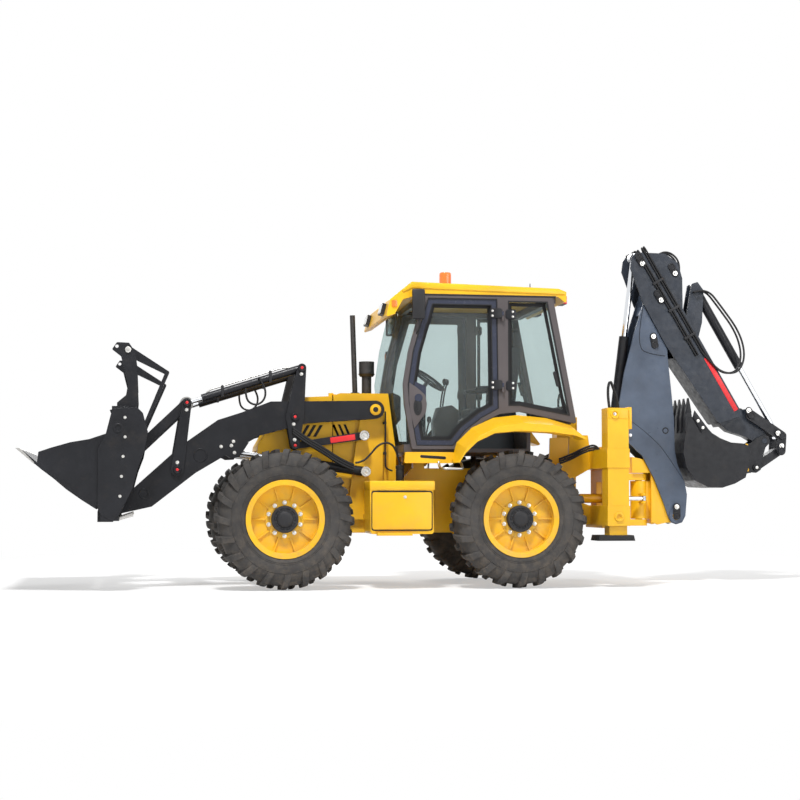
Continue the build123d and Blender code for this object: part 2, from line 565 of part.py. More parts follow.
def make_lamps():
    """Mirrors, work lamps, direction lamps and the beacon, each on its own bracket."""
    pieces = []
    mirror_head = block(-1450.0, -1330.0, 905.0, 935.0, 2780.0, 3080.0)
    stalk = block(-1400.0, -1380.0, roof_half_width + slide_gap, 910.0, 3060.0, 3085.0)
    pieces.extend(both(mirror_head + stalk))
    slope_x = visor_line[1][0] - visor_line[0][0]
    slope_z = visor_line[1][1] - visor_line[0][1]
    slope = math.hypot(slope_x, slope_z)
    face_x = visor_line[0][0] + slope_z / slope * slide_gap
    face_z = visor_line[0][1] - slope_x / slope * slide_gap

    def on_visor(up, out):
        return (face_x + (slope_x * up + slope_z * out) / slope, face_z + (slope_z * up - slope_x * out) / slope)

    for y in (560.0, -560.0):
        lamp = slab([on_visor(45.0, 0.0), on_visor(160.0, 0.0), on_visor(160.0, 42.0), on_visor(45.0, 42.0)],
                    y - 90.0, y + 90.0)
        rear_lamp = block(-3040.0, -2985.0 - slide_gap, y - 90.0, y + 90.0, 2990.0, 3080.0)
        pieces.extend([lamp, rear_lamp])
    along = (roof_top[0][0] - beacon_x) / (roof_top[0][0] - roof_top[1][0])
    roof_z = roof_top[0][1] + along * (roof_top[1][1] - roof_top[0][1])
    beacon_foot = (Align.CENTER, Align.CENTER, Align.MIN)
    beacon = Pos(beacon_x, 500.0, roof_z - 4.0) * Cylinder(60.0, 154.0, align=beacon_foot)
    beacon = beacon - slab([(roof_top[0][0], roof_top[0][1] + slide_gap), (roof_top[1][0], roof_top[1][1] + slide_gap),
                            (-2900.0, 3000.0), (-1331.0, 3000.0)], 400.0, 600.0)
    pieces.append(beacon)
    save("lamps", pieces)


def make_loader():
    """Lift arms with their cross tube, and the levers, links and rams on them."""
    top = [(-1000.0, 1945.0), (106.0, 1926.0), (408.0, 1810.0), (652.0, 1730.0), (1015.0, 1472.0), (1600.0, 940.0)]
    low = [(1640.0, 765.0), (1319.0, 837.0), (877.0, 1182.0), (665.0, 1309.0), (215.0, 1573.0), (-279.0, 1704.0),
           (-992.0, 1755.0)]
    arm = slab(top + low, arm_inner_y, arm_outer_y)
    arm = arm + axis_y(arm_pivot, 95.0, arm_inner_y, arm_outer_y)
    arm = arm + axis_y(bucket_pivot, 92.0, arm_inner_y, arm_outer_y)
    arm = arm + axis_y(front_lever_pivot, 110.0, arm_inner_y, arm_outer_y)
    lug_outline = [(330.0, 1500.0), (430.0, 1345.0), (520.0, 1340.0), (600.0, 1380.0), (640.0, 1330.0),
                   (640.0, 1440.0)]
    for low_y, high_y in ((arm_inner_y, arm_mid_y - eye_width / 2 - lever_gap),
                          (arm_mid_y + eye_width / 2 + lever_gap, arm_outer_y)):
        arm = arm + slab(lug_outline, low_y, high_y)
    eye_x, eye_z = lift_eye
    slot = [(eye_x - 330.0, eye_z - 90.0), (eye_x + 75.0, eye_z - 90.0), (eye_x + 75.0, eye_z + 60.0),
            (eye_x + 20.0, eye_z + 120.0), (eye_x - 80.0, eye_z + 120.0), (eye_x - 330.0, eye_z + 60.0)]
    arm = arm - slab(slot, arm_mid_y - eye_width / 2 - lever_gap, arm_mid_y + eye_width / 2 + lever_gap)
    for point, radius in ((arm_pivot, 36.0), (rear_lever_pivot, pin_radius), (front_lever_pivot, pin_radius),
                          (bucket_pivot, pin_radius)):
        arm = arm - axis_y(point, radius + slide_gap, arm_inner_y - 50.0, arm_outer_y + 50.0)
    tube = axis_y(cross_tube, 80.0, -arm_inner_y - 5.0, arm_inner_y + 5.0)
    save("loader_arms", joined(both(arm) + [tube]))

    barrel = ram_barrel(lift_base, lift_eye, arm_mid_y, lift_ram["outer"], lift_ram["rod"], lift_ram["length"],
                        80.0, pin_radius)
    save("lift_barrels", both(barrel))
    rod = ram_rod(lift_base, lift_eye, arm_mid_y, lift_ram["rod"], lift_ram["tail"], eye_width, 42.0, pin_radius)
    save("lift_rods", both(rod))

    link = strap(level_pivot, rear_lever_foot, 42.0, 36.0, arm_mid_y - 30.0, arm_mid_y + 30.0)
    link = link - axis_y(level_pivot, pin_radius + slide_gap, 0.0, 900.0)
    link = link - axis_y(rear_lever_foot, 18.0, 0.0, 900.0)
    save("levelling_links", both(link))

    planes = ((arm_inner_y - lever_gap - lever_plate, arm_inner_y - lever_gap),
              (arm_outer_y + lever_gap, arm_outer_y + lever_gap + lever_plate))
    inner_face = planes[0][0]
    outer_face = planes[1][1]
    lever = []
    for low_y, high_y in planes:
        plate = strap(rear_lever_pivot, rear_lever_top, 95.0, 45.0, low_y, high_y)
        plate = plate + strap(rear_lever_pivot, rear_lever_foot, 95.0, 45.0, low_y, high_y)
        lever.append(plate)
    lever.append(axis_y(rear_lever_pivot, pin_radius, inner_face, outer_face + 6.0))
    lever.append(axis_y(rear_lever_top, pin_radius, inner_face, outer_face + 6.0))
    lever.append(axis_y(rear_lever_foot, pin_radius, outer_face - 2.0, outer_face + 6.0))
    save("rear_levers", both(joined(lever)))

    shaft_end = inner_face - 1.3
    shaft = axis_y(front_lever_pivot, shaft_radius, -shaft_end, shaft_end)
    pin = axis_y(front_lever_pivot, pin_radius, -outer_face - 4.0, outer_face + 4.0)
    save("front_lever_pins", shaft + pin)
    plates = []
    for low_y, high_y in planes:
        plate = strap(front_lever_pivot, front_lever_top, 66.0, 48.0, low_y, high_y)
        for point in (front_lever_pivot, front_lever_top):
            plate = plate - axis_y(point, pin_radius + slide_gap, 0.0, 900.0)
        plates.append(plate)
    spacer_at = 0.58
    spacer = tuple(a + (b - a) * spacer_at for a, b in zip(front_lever_pivot, front_lever_top))
    plates.append(axis_y(spacer, 24.0, inner_face + 2.0, outer_face - 2.0))
    save("front_levers", both(joined(plates)))

    shaft = axis_y(front_lever_top, shaft_radius, -shaft_end, shaft_end)
    stub_reach = arm_mid_y - eye_width / 2 - lever_gap
    shaft = shaft + axis_y(front_lever_top, pin_radius, -stub_reach, stub_reach)
    stub_outer = axis_y(front_lever_top, pin_radius, arm_mid_y + eye_width / 2 + lever_gap, outer_face + 4.0)
    save("lever_top_pins", shaft, both(stub_outer))
    link_inner = strap(front_lever_top, bucket_link_pin, 48.0, 48.0, arm_inner_y, arm_inner_y + 22.0)
    link_outer = strap(front_lever_top, bucket_link_pin, 48.0, 48.0, arm_outer_y - 22.0, arm_outer_y)
    links = []
    for piece in (link_inner, link_outer):
        for point in (front_lever_top, bucket_link_pin):
            piece = piece - axis_y(point, pin_radius + slide_gap, 0.0, 900.0)
        links.extend(both(piece))
    save("bucket_links", links)

    barrel = ram_barrel(rear_lever_top, front_lever_top, arm_mid_y, tilt_ram["outer"], tilt_ram["rod"],
                        tilt_ram["length"], 80.0, pin_radius)
    save("tilt_barrels", both(barrel))
    rod = ram_rod(rear_lever_top, front_lever_top, arm_mid_y, tilt_ram["rod"], tilt_ram["tail"], eye_width, 42.0,
                  pin_radius)
    save("tilt_rods", both(rod))
    shaft = axis_y(bucket_pivot, shaft_radius, -shaft_end, shaft_end)
    pin = axis_y(bucket_pivot, pin_radius, -outer_face - 4.0, outer_face + 4.0)
    save("bucket_pins", shaft + pin)


end_plate = 20.0
carrier_y = (1085.0, 1110.0)
fork_y = (925.0, 995.0)
cheek_high = half_width - end_plate - 7.0
cheek_low = cheek_high - end_plate
board_half = cheek_low - run_gap


def make_front_bucket():
    """The rear half of the split bucket, the half that opens, and the folding forks."""
    planes = ((arm_inner_y - lever_gap - lever_plate, arm_inner_y - lever_gap),
              (arm_outer_y + lever_gap, arm_outer_y + lever_gap + lever_plate))
    wall = [(1716.0, 1801.0), (1655.0, 1640.0), (1642.0, 1480.0), (1680.0, 1250.0), (1750.0, 1050.0),
            (1798.0, 900.0), (1806.0, 760.0), (1745.0, 705.0), (1700.0, 712.0), (1700.0, 690.0), (1850.0, 690.0),
            (1850.0, 790.0), (1826.0, 905.0), (1775.0, 1060.0), (1706.0, 1255.0), (1668.0, 1480.0),
            (1681.0, 1635.0), (1742.0, 1795.0)]
    board = slab(wall, -board_half, board_half)
    for side in (1, -1):
        low_y, high_y = sorted((side * planes[0][1], side * planes[1][0]))
        board = board - block(1600.0, 1862.0, low_y, high_y, 680.0, 884.0)
    for side in (1, -1):
        low_y, high_y = sorted((side * (board_half - 5.0), side * (half_width - 5.0)))
        board = board + block(1640.0, 1820.0, low_y, high_y, 700.0, 780.0)
    end_outline = [(1716.0, 1805.0), (1474.0, 1821.0), (1417.0, 1765.0), (1366.0, 1577.0), (1402.0, 1375.0),
                   (1462.0, 1211.0), (1510.0, 1022.0), (1631.0, 772.0), (1707.0, 695.0), (1816.0, 760.0),
                   (1850.0, 829.0), (1850.0, 1410.0), (1776.0, 1560.0)]
    end = slab(end_outline, half_width - end_plate, half_width, radius=12.0)
    bucket = [board] + both(end)
    ear_outline = [(1640.0, 760.0), (1720.0, 760.0), (1815.0, 800.0), (1815.0, 900.0), (1690.0, 1260.0),
                   (1655.0, 1480.0), (1600.0, 1440.0), (1490.0, 1390.0), (1490.0, 1310.0), (1600.0, 1010.0),
                   (1605.0, 840.0)]
    for low_y, high_y in planes:
        ear = slab(ear_outline, low_y, high_y, radius=14.0)
        ear = ear - axis_y(bucket_pivot, pin_radius + slide_gap, 0.0, 900.0)
        bucket.extend(both(ear))
    stub = axis_y(bucket_link_pin, pin_radius, planes[1][1] - 2.0, planes[1][1] + 6.0)
    bucket.extend(both(stub))
    top_rail = block(1560.0, 1720.0, -half_width + 5.0, half_width - 5.0, 1793.0, 1832.0)
    bucket.append(top_rail)
    carrier_outline = [(1726.0, 2399.0), (1678.0, 2470.0), (1560.0, 2466.0), (1496.0, 2373.0), (1474.0, 2214.0),
                       (1462.0, 1975.0), (1476.0, 1815.0), (1671.0, 1815.0), (1671.0, 1870.0), (1584.0, 1944.0),
                       (1566.0, 2053.0), (1612.0, 2232.0), (1637.0, 2330.0)]
    carrier = slab(carrier_outline, carrier_y[0], carrier_y[1], radius=12.0)
    carrier = carrier - axis_y((1678.0, 2430.0), 17.0, 900.0, 1200.0)
    foot = block(1476.0, 1600.0, carrier_y[0] - 40.0, carrier_y[1], 1790.0, 1832.0)
    bucket.extend(both(carrier + foot))
    bucket.append(axis_y(fork_shaft, 26.0, -carrier_y[1] - 8.0, carrier_y[1] + 8.0))
    pivot = axis_y(clam_pivot, 26.0, half_width - end_plate - 42.0, half_width - end_plate + 2.0)
    bucket.extend(both(pivot))
    save("front_bucket", joined(bucket))

    outer = [(2639.0, 1412.0), (2399.0, 1209.0), (2275.0, 1115.0), (2152.0, 1010.0), (2003.0, 905.0),
             (1862.0, 815.0)]
    inner = [(1862.0, 845.0), (1990.0, 928.0), (2138.0, 1034.0), (2262.0, 1138.0), (2386.0, 1232.0),
             (2600.0, 1412.0)]
    shell = slab(outer + inner, -half_width + end_plate + 10.0, half_width - end_plate - 10.0)
    cheek_outline = [(2425.0, 1377.0), (2304.0, 1419.0), (2120.0, 1473.0), (1936.0, 1505.0), (1776.0, 1560.0),
                     (1715.0, 1640.0), (1659.0, 1680.0), (1595.0, 1640.0), (1600.0, 1570.0), (1740.0, 1440.0),
                     (1800.0, 1200.0), (1862.0, 820.0), (2003.0, 905.0), (2275.0, 1115.0), (2440.0, 1245.0)]
    cheek = slab(cheek_outline, cheek_low, cheek_high)
    cheek = cheek - axis_y(clam_pivot, 26.0 + slide_gap, 900.0, 1300.0)
    clam = [shell] + both(cheek)
    save("clam", joined(clam))

    heel = (1180.0, 2180.0)
    tip = (1597.0, 1175.0)
    shank = strap(fork_shaft, heel, 48.0, 20.0, fork_y[0], fork_y[1])
    tine = strap(heel, tip, 20.0, 9.0, fork_y[0] - 15.0, fork_y[1] + 15.0)
    fork = shank + tine - axis_y(fork_shaft, 26.0 + slide_gap, 0.0, 1200.0)
    save("fork_tines", both(fork))


swing_lugs = ((1120.0, 1195.0), (620.0, 690.0))
swing_ram_y = 168.0
swing_z = 920.0
swing_ram_front = -3300.0
swing_ram_rear = -3690.0
swing_eye_x = -4025.0
swing_eye_radius = 30.0
swing_eye_height = 50.0
lug_half = 90.0


def bar_x(y, z, radius, rear, front):
    """A round bar along X."""
    return Pos((rear + front) / 2, y, z) * Rot(0, 90, 0) * Cylinder(radius, front - rear)


def make_carriage():
    """The side shift carriage with its lugs, the kingpost and the swing rods."""
    face_x = rail_rear_x - 8.0 - slide_gap
    back_x = face_x - carriage_plate
    half = carriage_half_width
    carriage = block(back_x, face_x, -half, half, 600.0, 1480.0)
    carriage = carriage - block(back_x - 10.0, face_x + 10.0, -105.0, 105.0, 800.0, 1100.0)
    for floor, top in ((upper_rail_z[1] + slide_gap, 1480.0), (600.0, lower_rail_z[0] - slide_gap)):
        carriage = carriage + block(face_x - 5.0, face_x + 60.0, -half, half, floor, top)
    for floor, top in swing_lugs:
        carriage = carriage + block(swing_x, back_x + 5.0, -lug_half, lug_half, floor, top)
        carriage = carriage + Pos(swing_x, 0, (floor + top) / 2) * Cylinder(lug_half, top - floor)
    pin_low = swing_lugs[1][0]
    pin_high = swing_lugs[0][1]
    carriage = carriage + Pos(swing_x, 0, (pin_low + pin_high) / 2) * Cylinder(38.0, pin_high - pin_low)
    for side in (1, -1):
        y = side * swing_ram_y
        carriage = carriage - bar_x(y, swing_z, swing_ram["outer"] - 5.0, back_x - 10.0, face_x + 70.0)
        ram = bar_x(y, swing_z, swing_ram["outer"], swing_ram_rear, swing_ram_front)
        ram = ram - bar_x(y, swing_z, swing_ram["rod"] + 8.0, swing_ram_rear + 30.0, swing_ram_front - 20.0)
        ram = ram - bar_x(y, swing_z, swing_ram["rod"] + slide_gap, swing_ram_rear - 10.0, swing_ram_rear + 40.0)
        carriage = carriage + ram
    save("carriage", carriage)

    post_low = swing_lugs[1][1] + run_gap
    post_high = swing_lugs[0][0] - run_gap
    post_top = swing_lugs[0][1] + run_gap
    post = Pos(swing_x, 0, (post_low + post_high) / 2) * Cylinder(92.0, post_high - post_low)
    wall_front = swing_x - lug_half - 18.0
    wall_rear = -4185.0
    horn_half = boom_half_width - boom_plate - 10.0
    post = post + block(wall_front - 5.0, swing_x, -60.0, 60.0, post_low, post_high)
    horn = [(-3914.0, post_top), (-3914.0, 1376.0), (-4066.0, 1347.0), (-4190.0, 1187.0), (-4271.0, 1002.0),
            (-4312.0, 803.0), (-4330.0, 660.0), (-4200.0, 632.0), (wall_front, 660.0), (wall_front, post_top)]
    cheek = slab(horn, horn_half - 32.0, horn_half)
    pieces = [post] + both(cheek)
    pieces.append(block(wall_rear, wall_front, -horn_half + 5.0, horn_half - 5.0, 645.0, 1030.0))
    pieces.append(slab([(-3914.0, post_top), (-3914.0, 1376.0), (-4060.0, 1348.0), (-4095.0, 1290.0),
                        (-4095.0, post_top)], -horn_half + 5.0, horn_half - 5.0))
    pieces.append(strap((-4240.0, 770.0), boom_pivot, 105.0, 80.0, -horn_half, horn_half))
    pieces.append(axis_y(boom_ram_base, 46.0, horn_half - 48.0, horn_half))
    pieces.append(axis_y(boom_ram_base, 46.0, -horn_half, -horn_half + 48.0))
    pieces.append(axis_y(boom_ram_base, 30.0, -horn_half, horn_half))
    pin_reach = boom_half_width + boom_boss + 6.0
    pieces.append(axis_y(boom_pivot, 42.0, -pin_reach, pin_reach))
    ear_gap = swing_eye_height / 2 + run_gap
    ear_thick = 25.0
    for side in (1, -1):
        low_y, high_y = sorted((side * 80.0, side * swing_ram_y))
        for middle in (swing_z + ear_gap + ear_thick / 2, swing_z - ear_gap - ear_thick / 2):
            ear = block(swing_eye_x - swing_eye_radius, swing_eye_x + swing_eye_radius, low_y, high_y, middle - ear_thick / 2,
                        middle + ear_thick / 2)
            pieces.append(ear + Pos(swing_eye_x, side * swing_ram_y, middle) * Cylinder(swing_eye_radius, ear_thick))
    kingpost = joined(pieces)
    kingpost = kingpost - Pos(swing_x, 0, (post_low + post_high) / 2) * Cylinder(38.0 + slide_gap, post_high - post_low)
    save("kingpost", kingpost)
    for name, side in (("left", 1), ("right", -1)):
        y = side * swing_ram_y
        rod = bar_x(y, swing_z, swing_ram["rod"], swing_eye_x, swing_ram_rear + 195.0)
        rod = rod + Pos(swing_eye_x, y, swing_z) * Cylinder(swing_eye_radius, swing_eye_height)
        rod = rod - Pos(swing_eye_x, y, swing_z) * Cylinder(14.0, 2 * swing_eye_height)
        save(f"swing_rod_{name}", rod)


boom_boss = 14.0


def make_boom():
    """The upright boom: two side plates with a web behind and open in front."""
    outline = [(-3951.0, 2774.0), (-3824.0, 2305.0), (-3760.0, 1942.0), (-3867.0, 1535.0), (-4022.0, 1387.0),
               (-4153.0, 1141.0), (-4247.0, 908.0), (-4310.0, 728.0), (-4345.0, 655.0), (-4403.0, 635.0),
               (-4470.0, 655.0), (-4510.0, 728.0), (-4530.0, 960.0), (-4505.0, 1100.0), (-4422.0, 1300.0),
               (-4394.0, 1460.0), (-4390.0, 1795.0), (-4357.0, 2147.0), (-4322.0, 2498.0), (-4316.0, 2780.0), (-4316.0, 3187.0),
               (-4280.0, 3270.0), (-4200.0, 3303.0), (-4120.0, 3270.0), (-4084.0, 3187.0)]
    inner_y = boom_half_width - boom_plate
    plate = slab(outline, inner_y, boom_half_width, radius=8.0)
    boom = both(plate)
    rear_edge = [(-4520.0, 860.0), (-4528.0, 960.0), (-4503.0, 1100.0), (-4420.0, 1300.0), (-4392.0, 1460.0),
                 (-4388.0, 1795.0), (-4355.0, 2147.0), (-4322.0, 2498.0), (-4316.0, 2780.0), (-4316.0, 3000.0)]
    web_wall = 20.0
    web = rear_edge + [(x + web_wall, z) for x, z in reversed(rear_edge)]
    boom.append(slab(web, -inner_y - 2.0, inner_y + 2.0))
    front_web = [(-4084.0, 3060.0), (-4042.0, 2960.0), (-4062.0, 2940.0), (-4104.0, 3050.0)]
    boom.append(slab(front_web, -inner_y - 2.0, inner_y + 2.0))
    boom.extend(both(axis_y(boom_pivot, 80.0, inner_y, boom_half_width + boom_boss)))
    boom.append(axis_y(dipper_pivot, 70.0, -boom_half_width, boom_half_width))
    boom.append(axis_y(boom_ram_eye, 34.0, inner_y - 2.0, boom_half_width + 4.0))
    boom.append(axis_y(boom_ram_eye, 34.0, -boom_half_width - 4.0, -inner_y + 2.0))
    ear = [(-3700.0, 1620.0), (-3670.0, 1680.0), (-3700.0, 1745.0), (-3860.0, 1840.0), (-3900.0, 1560.0)]
    for low_y, high_y in ((62.0, 92.0), (-92.0, -62.0)):
        boom.append(slab(ear, low_y, high_y, radius=10.0))
    bridge = [(-3830.0, 1640.0), (-3812.0, 1640.0), (-3812.0, 1766.0), (-3830.0, 1766.0)]
    boom.append(slab(bridge, -inner_y - 2.0, inner_y + 2.0))
    boom.append(axis_y(dipper_ram_base, 32.0, -92.0, 92.0))
    whole = joined(boom)
    whole = whole - axis_y(boom_pivot, 42.0 + slide_gap, -400.0, 400.0)
    whole = whole - axis_y(dipper_pivot, 36.0 + slide_gap, -400.0, 400.0)
    save("boom", whole)
    barrel = ram_barrel(boom_ram_base, boom_ram_eye, 0.0, boom_ram["outer"], boom_ram["rod"], boom_ram["length"],
                        120.0, 30.0)
    save("boom_barrel", barrel)
    rod = ram_rod(boom_ram_base, boom_ram_eye, 0.0, boom_ram["rod"], boom_ram["tail"], 110.0, 60.0, 30.0)
    save("boom_rod", rod)


def dipper_at(distance, side):
    """A point by its distance up the sliding line from the hoe pivot, and its offset from the line."""
    ahead = (math.cos(dipper_slope), math.sin(dipper_slope))
    return (hoe_pivot[0] - distance * ahead[0] + side * ahead[1],
            hoe_pivot[1] - distance * ahead[1] - side * ahead[0])


inner_dipper_half = boom_half_width - 2.0


def make_dipper():
    """The dipper that pivots on the boom and the inner dipper that slides out of it."""
    low_y = boom_half_width + run_gap
    high_y = low_y + dipper_plate
    outline = [dipper_at(445.0, -388.0), dipper_at(1505.0, -470.0), dipper_at(2032.0, -455.0),
               dipper_at(2432.0, -381.0), dipper_at(2538.0, -297.0), dipper_at(2528.0, -197.0),
               dipper_at(2377.0, 49.0), dipper_at(2213.0, 125.0), dipper_at(2041.0, 80.0),
               dipper_at(1750.0, -90.0), dipper_at(384.0, -95.0)]
    plate = slab(outline, low_y, high_y, radius=30.0)
    dipper = both(plate)
    web = [dipper_at(446.0, -388.0), dipper_at(1330.0, -456.0), dipper_at(1330.0, -436.0), dipper_at(446.0, -368.0)]
    dipper.append(slab(web, -low_y - 2.0, low_y + 2.0))
    cap = [dipper_at(2440.0, -60.0), dipper_at(2370.0, 45.0), dipper_at(2215.0, 118.0), dipper_at(2205.0, 98.0),
           dipper_at(2355.0, 28.0), dipper_at(2420.0, -70.0)]
    dipper.append(slab(cap, -low_y - 2.0, low_y + 2.0))
    dipper.append(axis_y(dipper_pivot, 36.0, -high_y - 6.0, high_y + 6.0))
    dipper.extend(both(axis_y(dipper_ram_eye, 52.0, high_y - 2.0, high_y + 8.0)))
    save("dipper", joined(dipper))
    barrel = ram_barrel(dipper_ram_base, dipper_ram_eye, 0.0, dipper_ram["outer"], dipper_ram["rod"],
                        dipper_ram["length"], 100.0, 32.0)
    save("dipper_barrel", barrel)
    rod = ram_rod(dipper_ram_base, dipper_ram_eye, 0.0, dipper_ram["rod"], dipper_ram["tail"], 110.0, 55.0, 30.0)
    save("dipper_rod", rod)

    half = low_y - run_gap
    shell = slab([dipper_at(395.0, -360.0), dipper_at(1540.0, -360.0), dipper_at(1540.0, -135.0),
                  dipper_at(395.0, -135.0)], -half, half)
    pads = slab([dipper_at(1440.0, -340.0), dipper_at(1520.0, -340.0), dipper_at(1520.0, -160.0),
                 dipper_at(1440.0, -160.0)], -low_y + slide_gap, low_y - slide_gap)
    nose = slab([dipper_at(470.0, -360.0), dipper_at(470.0, -135.0), dipper_at(405.0, 20.0), dipper_at(329.0, 60.0),
                 dipper_at(200.0, 50.0), dipper_at(0.0, 66.0), dipper_at(-66.0, 0.0), dipper_at(-20.0, -66.0),
                 dipper_at(150.0, -160.0), dipper_at(300.0, -300.0)], -nose_half_width, nose_half_width, radius=20.0)
    pieces = [shell, pads, nose]
    bracket = [dipper_at(1300.0, -140.0), dipper_at(1500.0, 60.0), dipper_at(1800.0, 262.0),
               dipper_at(1915.0, 250.0), dipper_at(1930.0, 180.0), dipper_at(1700.0, -20.0),
               dipper_at(1540.0, -140.0)]
    for low, high in ((60.0, 84.0), (-84.0, -60.0)):
        pieces.append(slab(bracket, low, high, radius=10.0))
    pieces.append(axis_y(bucket_ram_base, 30.0, -84.0, 84.0))
    inner = joined(pieces)
    lever_pin = axis_y(hoe_lever_pivot, 30.0, -lever_outer - 4.0, lever_outer + 4.0)
    inner = inner + lever_pin
    hitch_pin = axis_y(hoe_pivot, 30.0, -ear_outer - 4.0, ear_outer + 4.0)
    inner = inner + hitch_pin
    save("inner_dipper", inner)
    barrel = ram_barrel(bucket_ram_base, hoe_lever_ram_pin, 0.0, bucket_ram["outer"], bucket_ram["rod"],
                        bucket_ram["length"], 96.0, 30.0)
    save("bucket_barrel", barrel)
    rod = ram_rod(bucket_ram_base, hoe_lever_ram_pin, 0.0, bucket_ram["rod"], bucket_ram["tail"], 90.0, 52.0, 30.0)
    save("bucket_rod", rod)


ear_inner = nose_half_width + run_gap
ear_outer = ear_inner + hoe_ear
lever_inner = ear_outer + run_gap
lever_outer = lever_inner + hoe_ear


def make_hoe_linkage():
    """The two lever plates with the pin that carries the link, and the link."""
    levers = []
    for side in (1, -1):
        low_y, high_y = sorted((side * lever_inner, side * lever_outer))
        plate = strap(hoe_lever_pivot, hoe_lever_ram_pin, 58.0, 52.0, low_y, high_y)
        plate = plate + strap(hoe_lever_ram_pin, hoe_lever_link_pin, 52.0, 50.0, low_y, high_y)
        plate = plate - axis_y(hoe_lever_pivot, 30.0 + slide_gap, -400.0, 400.0)
        boss = axis_y(hoe_lever_ram_pin, 34.0, *sorted((side * (lever_outer - 2.0), side * (lever_outer + 6.0))))
        levers.extend([plate, boss])
    levers.append(axis_y(hoe_lever_link_pin, 28.0, -lever_outer - 6.0, lever_outer + 6.0))
    save("hoe_levers", joined(levers))
    link = strap(hoe_lever_link_pin, hoe_link_pin, 46.0, 46.0, -nose_half_width, nose_half_width)
    link = link - axis_y(hoe_lever_link_pin, 28.0 + slide_gap, -400.0, 400.0)
    link = link - axis_y(hoe_link_pin, 28.0, -400.0, 400.0)
    save("hoe_link", link)


def make_hoe_bucket():
    """The digging bucket with its teeth, cutters and hitch."""
    outer = [(-4500.0, 1809.0), (-4447.0, 1560.0), (-4434.0, 1417.0), (-4470.0, 1255.0), (-4564.0, 1117.0),
             (-4708.0, 1045.0), (-4876.0, 1037.0), (-5023.0, 1083.0), (-5145.0, 1150.0), (-5190.0, 1300.0),
             (-5190.0, 1500.0)]
    inner = [(-5168.0, 1500.0), (-5168.0, 1306.0), (-5128.0, 1166.0), (-5015.0, 1104.0), (-4872.0, 1058.0),
             (-4712.0, 1067.0), (-4578.0, 1134.0), (-4491.0, 1264.0), (-4457.0, 1421.0), (-4470.0, 1560.0),
             (-4521.0, 1805.0)]
    shell = slab(outer + inner, -hoe_half_width, hoe_half_width)
    cheek_outline = [(-4500.0, 1809.0), (-4447.0, 1560.0), (-4434.0, 1417.0), (-4470.0, 1255.0),
                     (-4564.0, 1117.0), (-4708.0, 1045.0), (-4876.0, 1037.0), (-5023.0, 1083.0),
                     (-5145.0, 1150.0), (-5190.0, 1300.0), (-5190.0, 1500.0), (-5125.0, 1524.0),
                     (-4980.0, 1535.0), (-4860.0, 1581.0), (-4763.0, 1638.0), (-4689.0, 1718.0), (-4610.0, 1820.0)]
    cheek = slab(cheek_outline, hoe_half_width - hoe_wall, hoe_half_width)
    bucket = [shell] + both(cheek)
    pitch = (2 * hoe_half_width - 70.0) / 4
    for index in range(5):
        y = -hoe_half_width + 35.0 + index * pitch
        tooth = slab([(-4540.0, 1740.0), (-4460.0, 1650.0), (-4462.0, 1810.0), (-4502.0, 2017.0),
                      (-4535.0, 1830.0)], y - 32.0, y + 32.0)
        bucket.append(tooth)
    ear_outline = [(-5180.0, 1180.0), (-5300.0, 1210.0), (-5356.0, 1205.0), (-5412.0, 1240.0), (-5412.0, 1300.0),
                   (-5470.0, 1490.0), (-5525.0, 1545.0), (-5510.0, 1610.0), (-5459.0, 1632.0), (-5380.0, 1600.0),
                   (-5300.0, 1540.0), (-5180.0, 1510.0)]
    for side in (1, -1):
        low_y, high_y = sorted((side * ear_inner, side * ear_outer))
        ear = slab(ear_outline, low_y, high_y, radius=14.0)
        ear = ear - axis_y(hoe_pivot, 30.0 + slide_gap, -400.0, 400.0)
        bucket.append(ear)
        boss = axis_y(hoe_link_pin, 34.0, *sorted((side * (ear_outer - 2.0), side * (ear_outer + 6.0))))
        bucket.append(boss)
    save("hoe_bucket", joined(bucket))


def main():
    os.makedirs("parts", exist_ok=True)
    make_wheels()
    make_axles()
    make_main_frame()
    make_rear_frame()
    make_bonnet()
    make_exhaust()
    make_cab()
    make_doors()
    make_interior()
    make_fenders()
    make_lamps()
    make_loader()
    make_front_bucket()
    make_carriage()
    make_boom()
    make_dipper()
    make_hoe_linkage()
    make_hoe_bucket()


main()
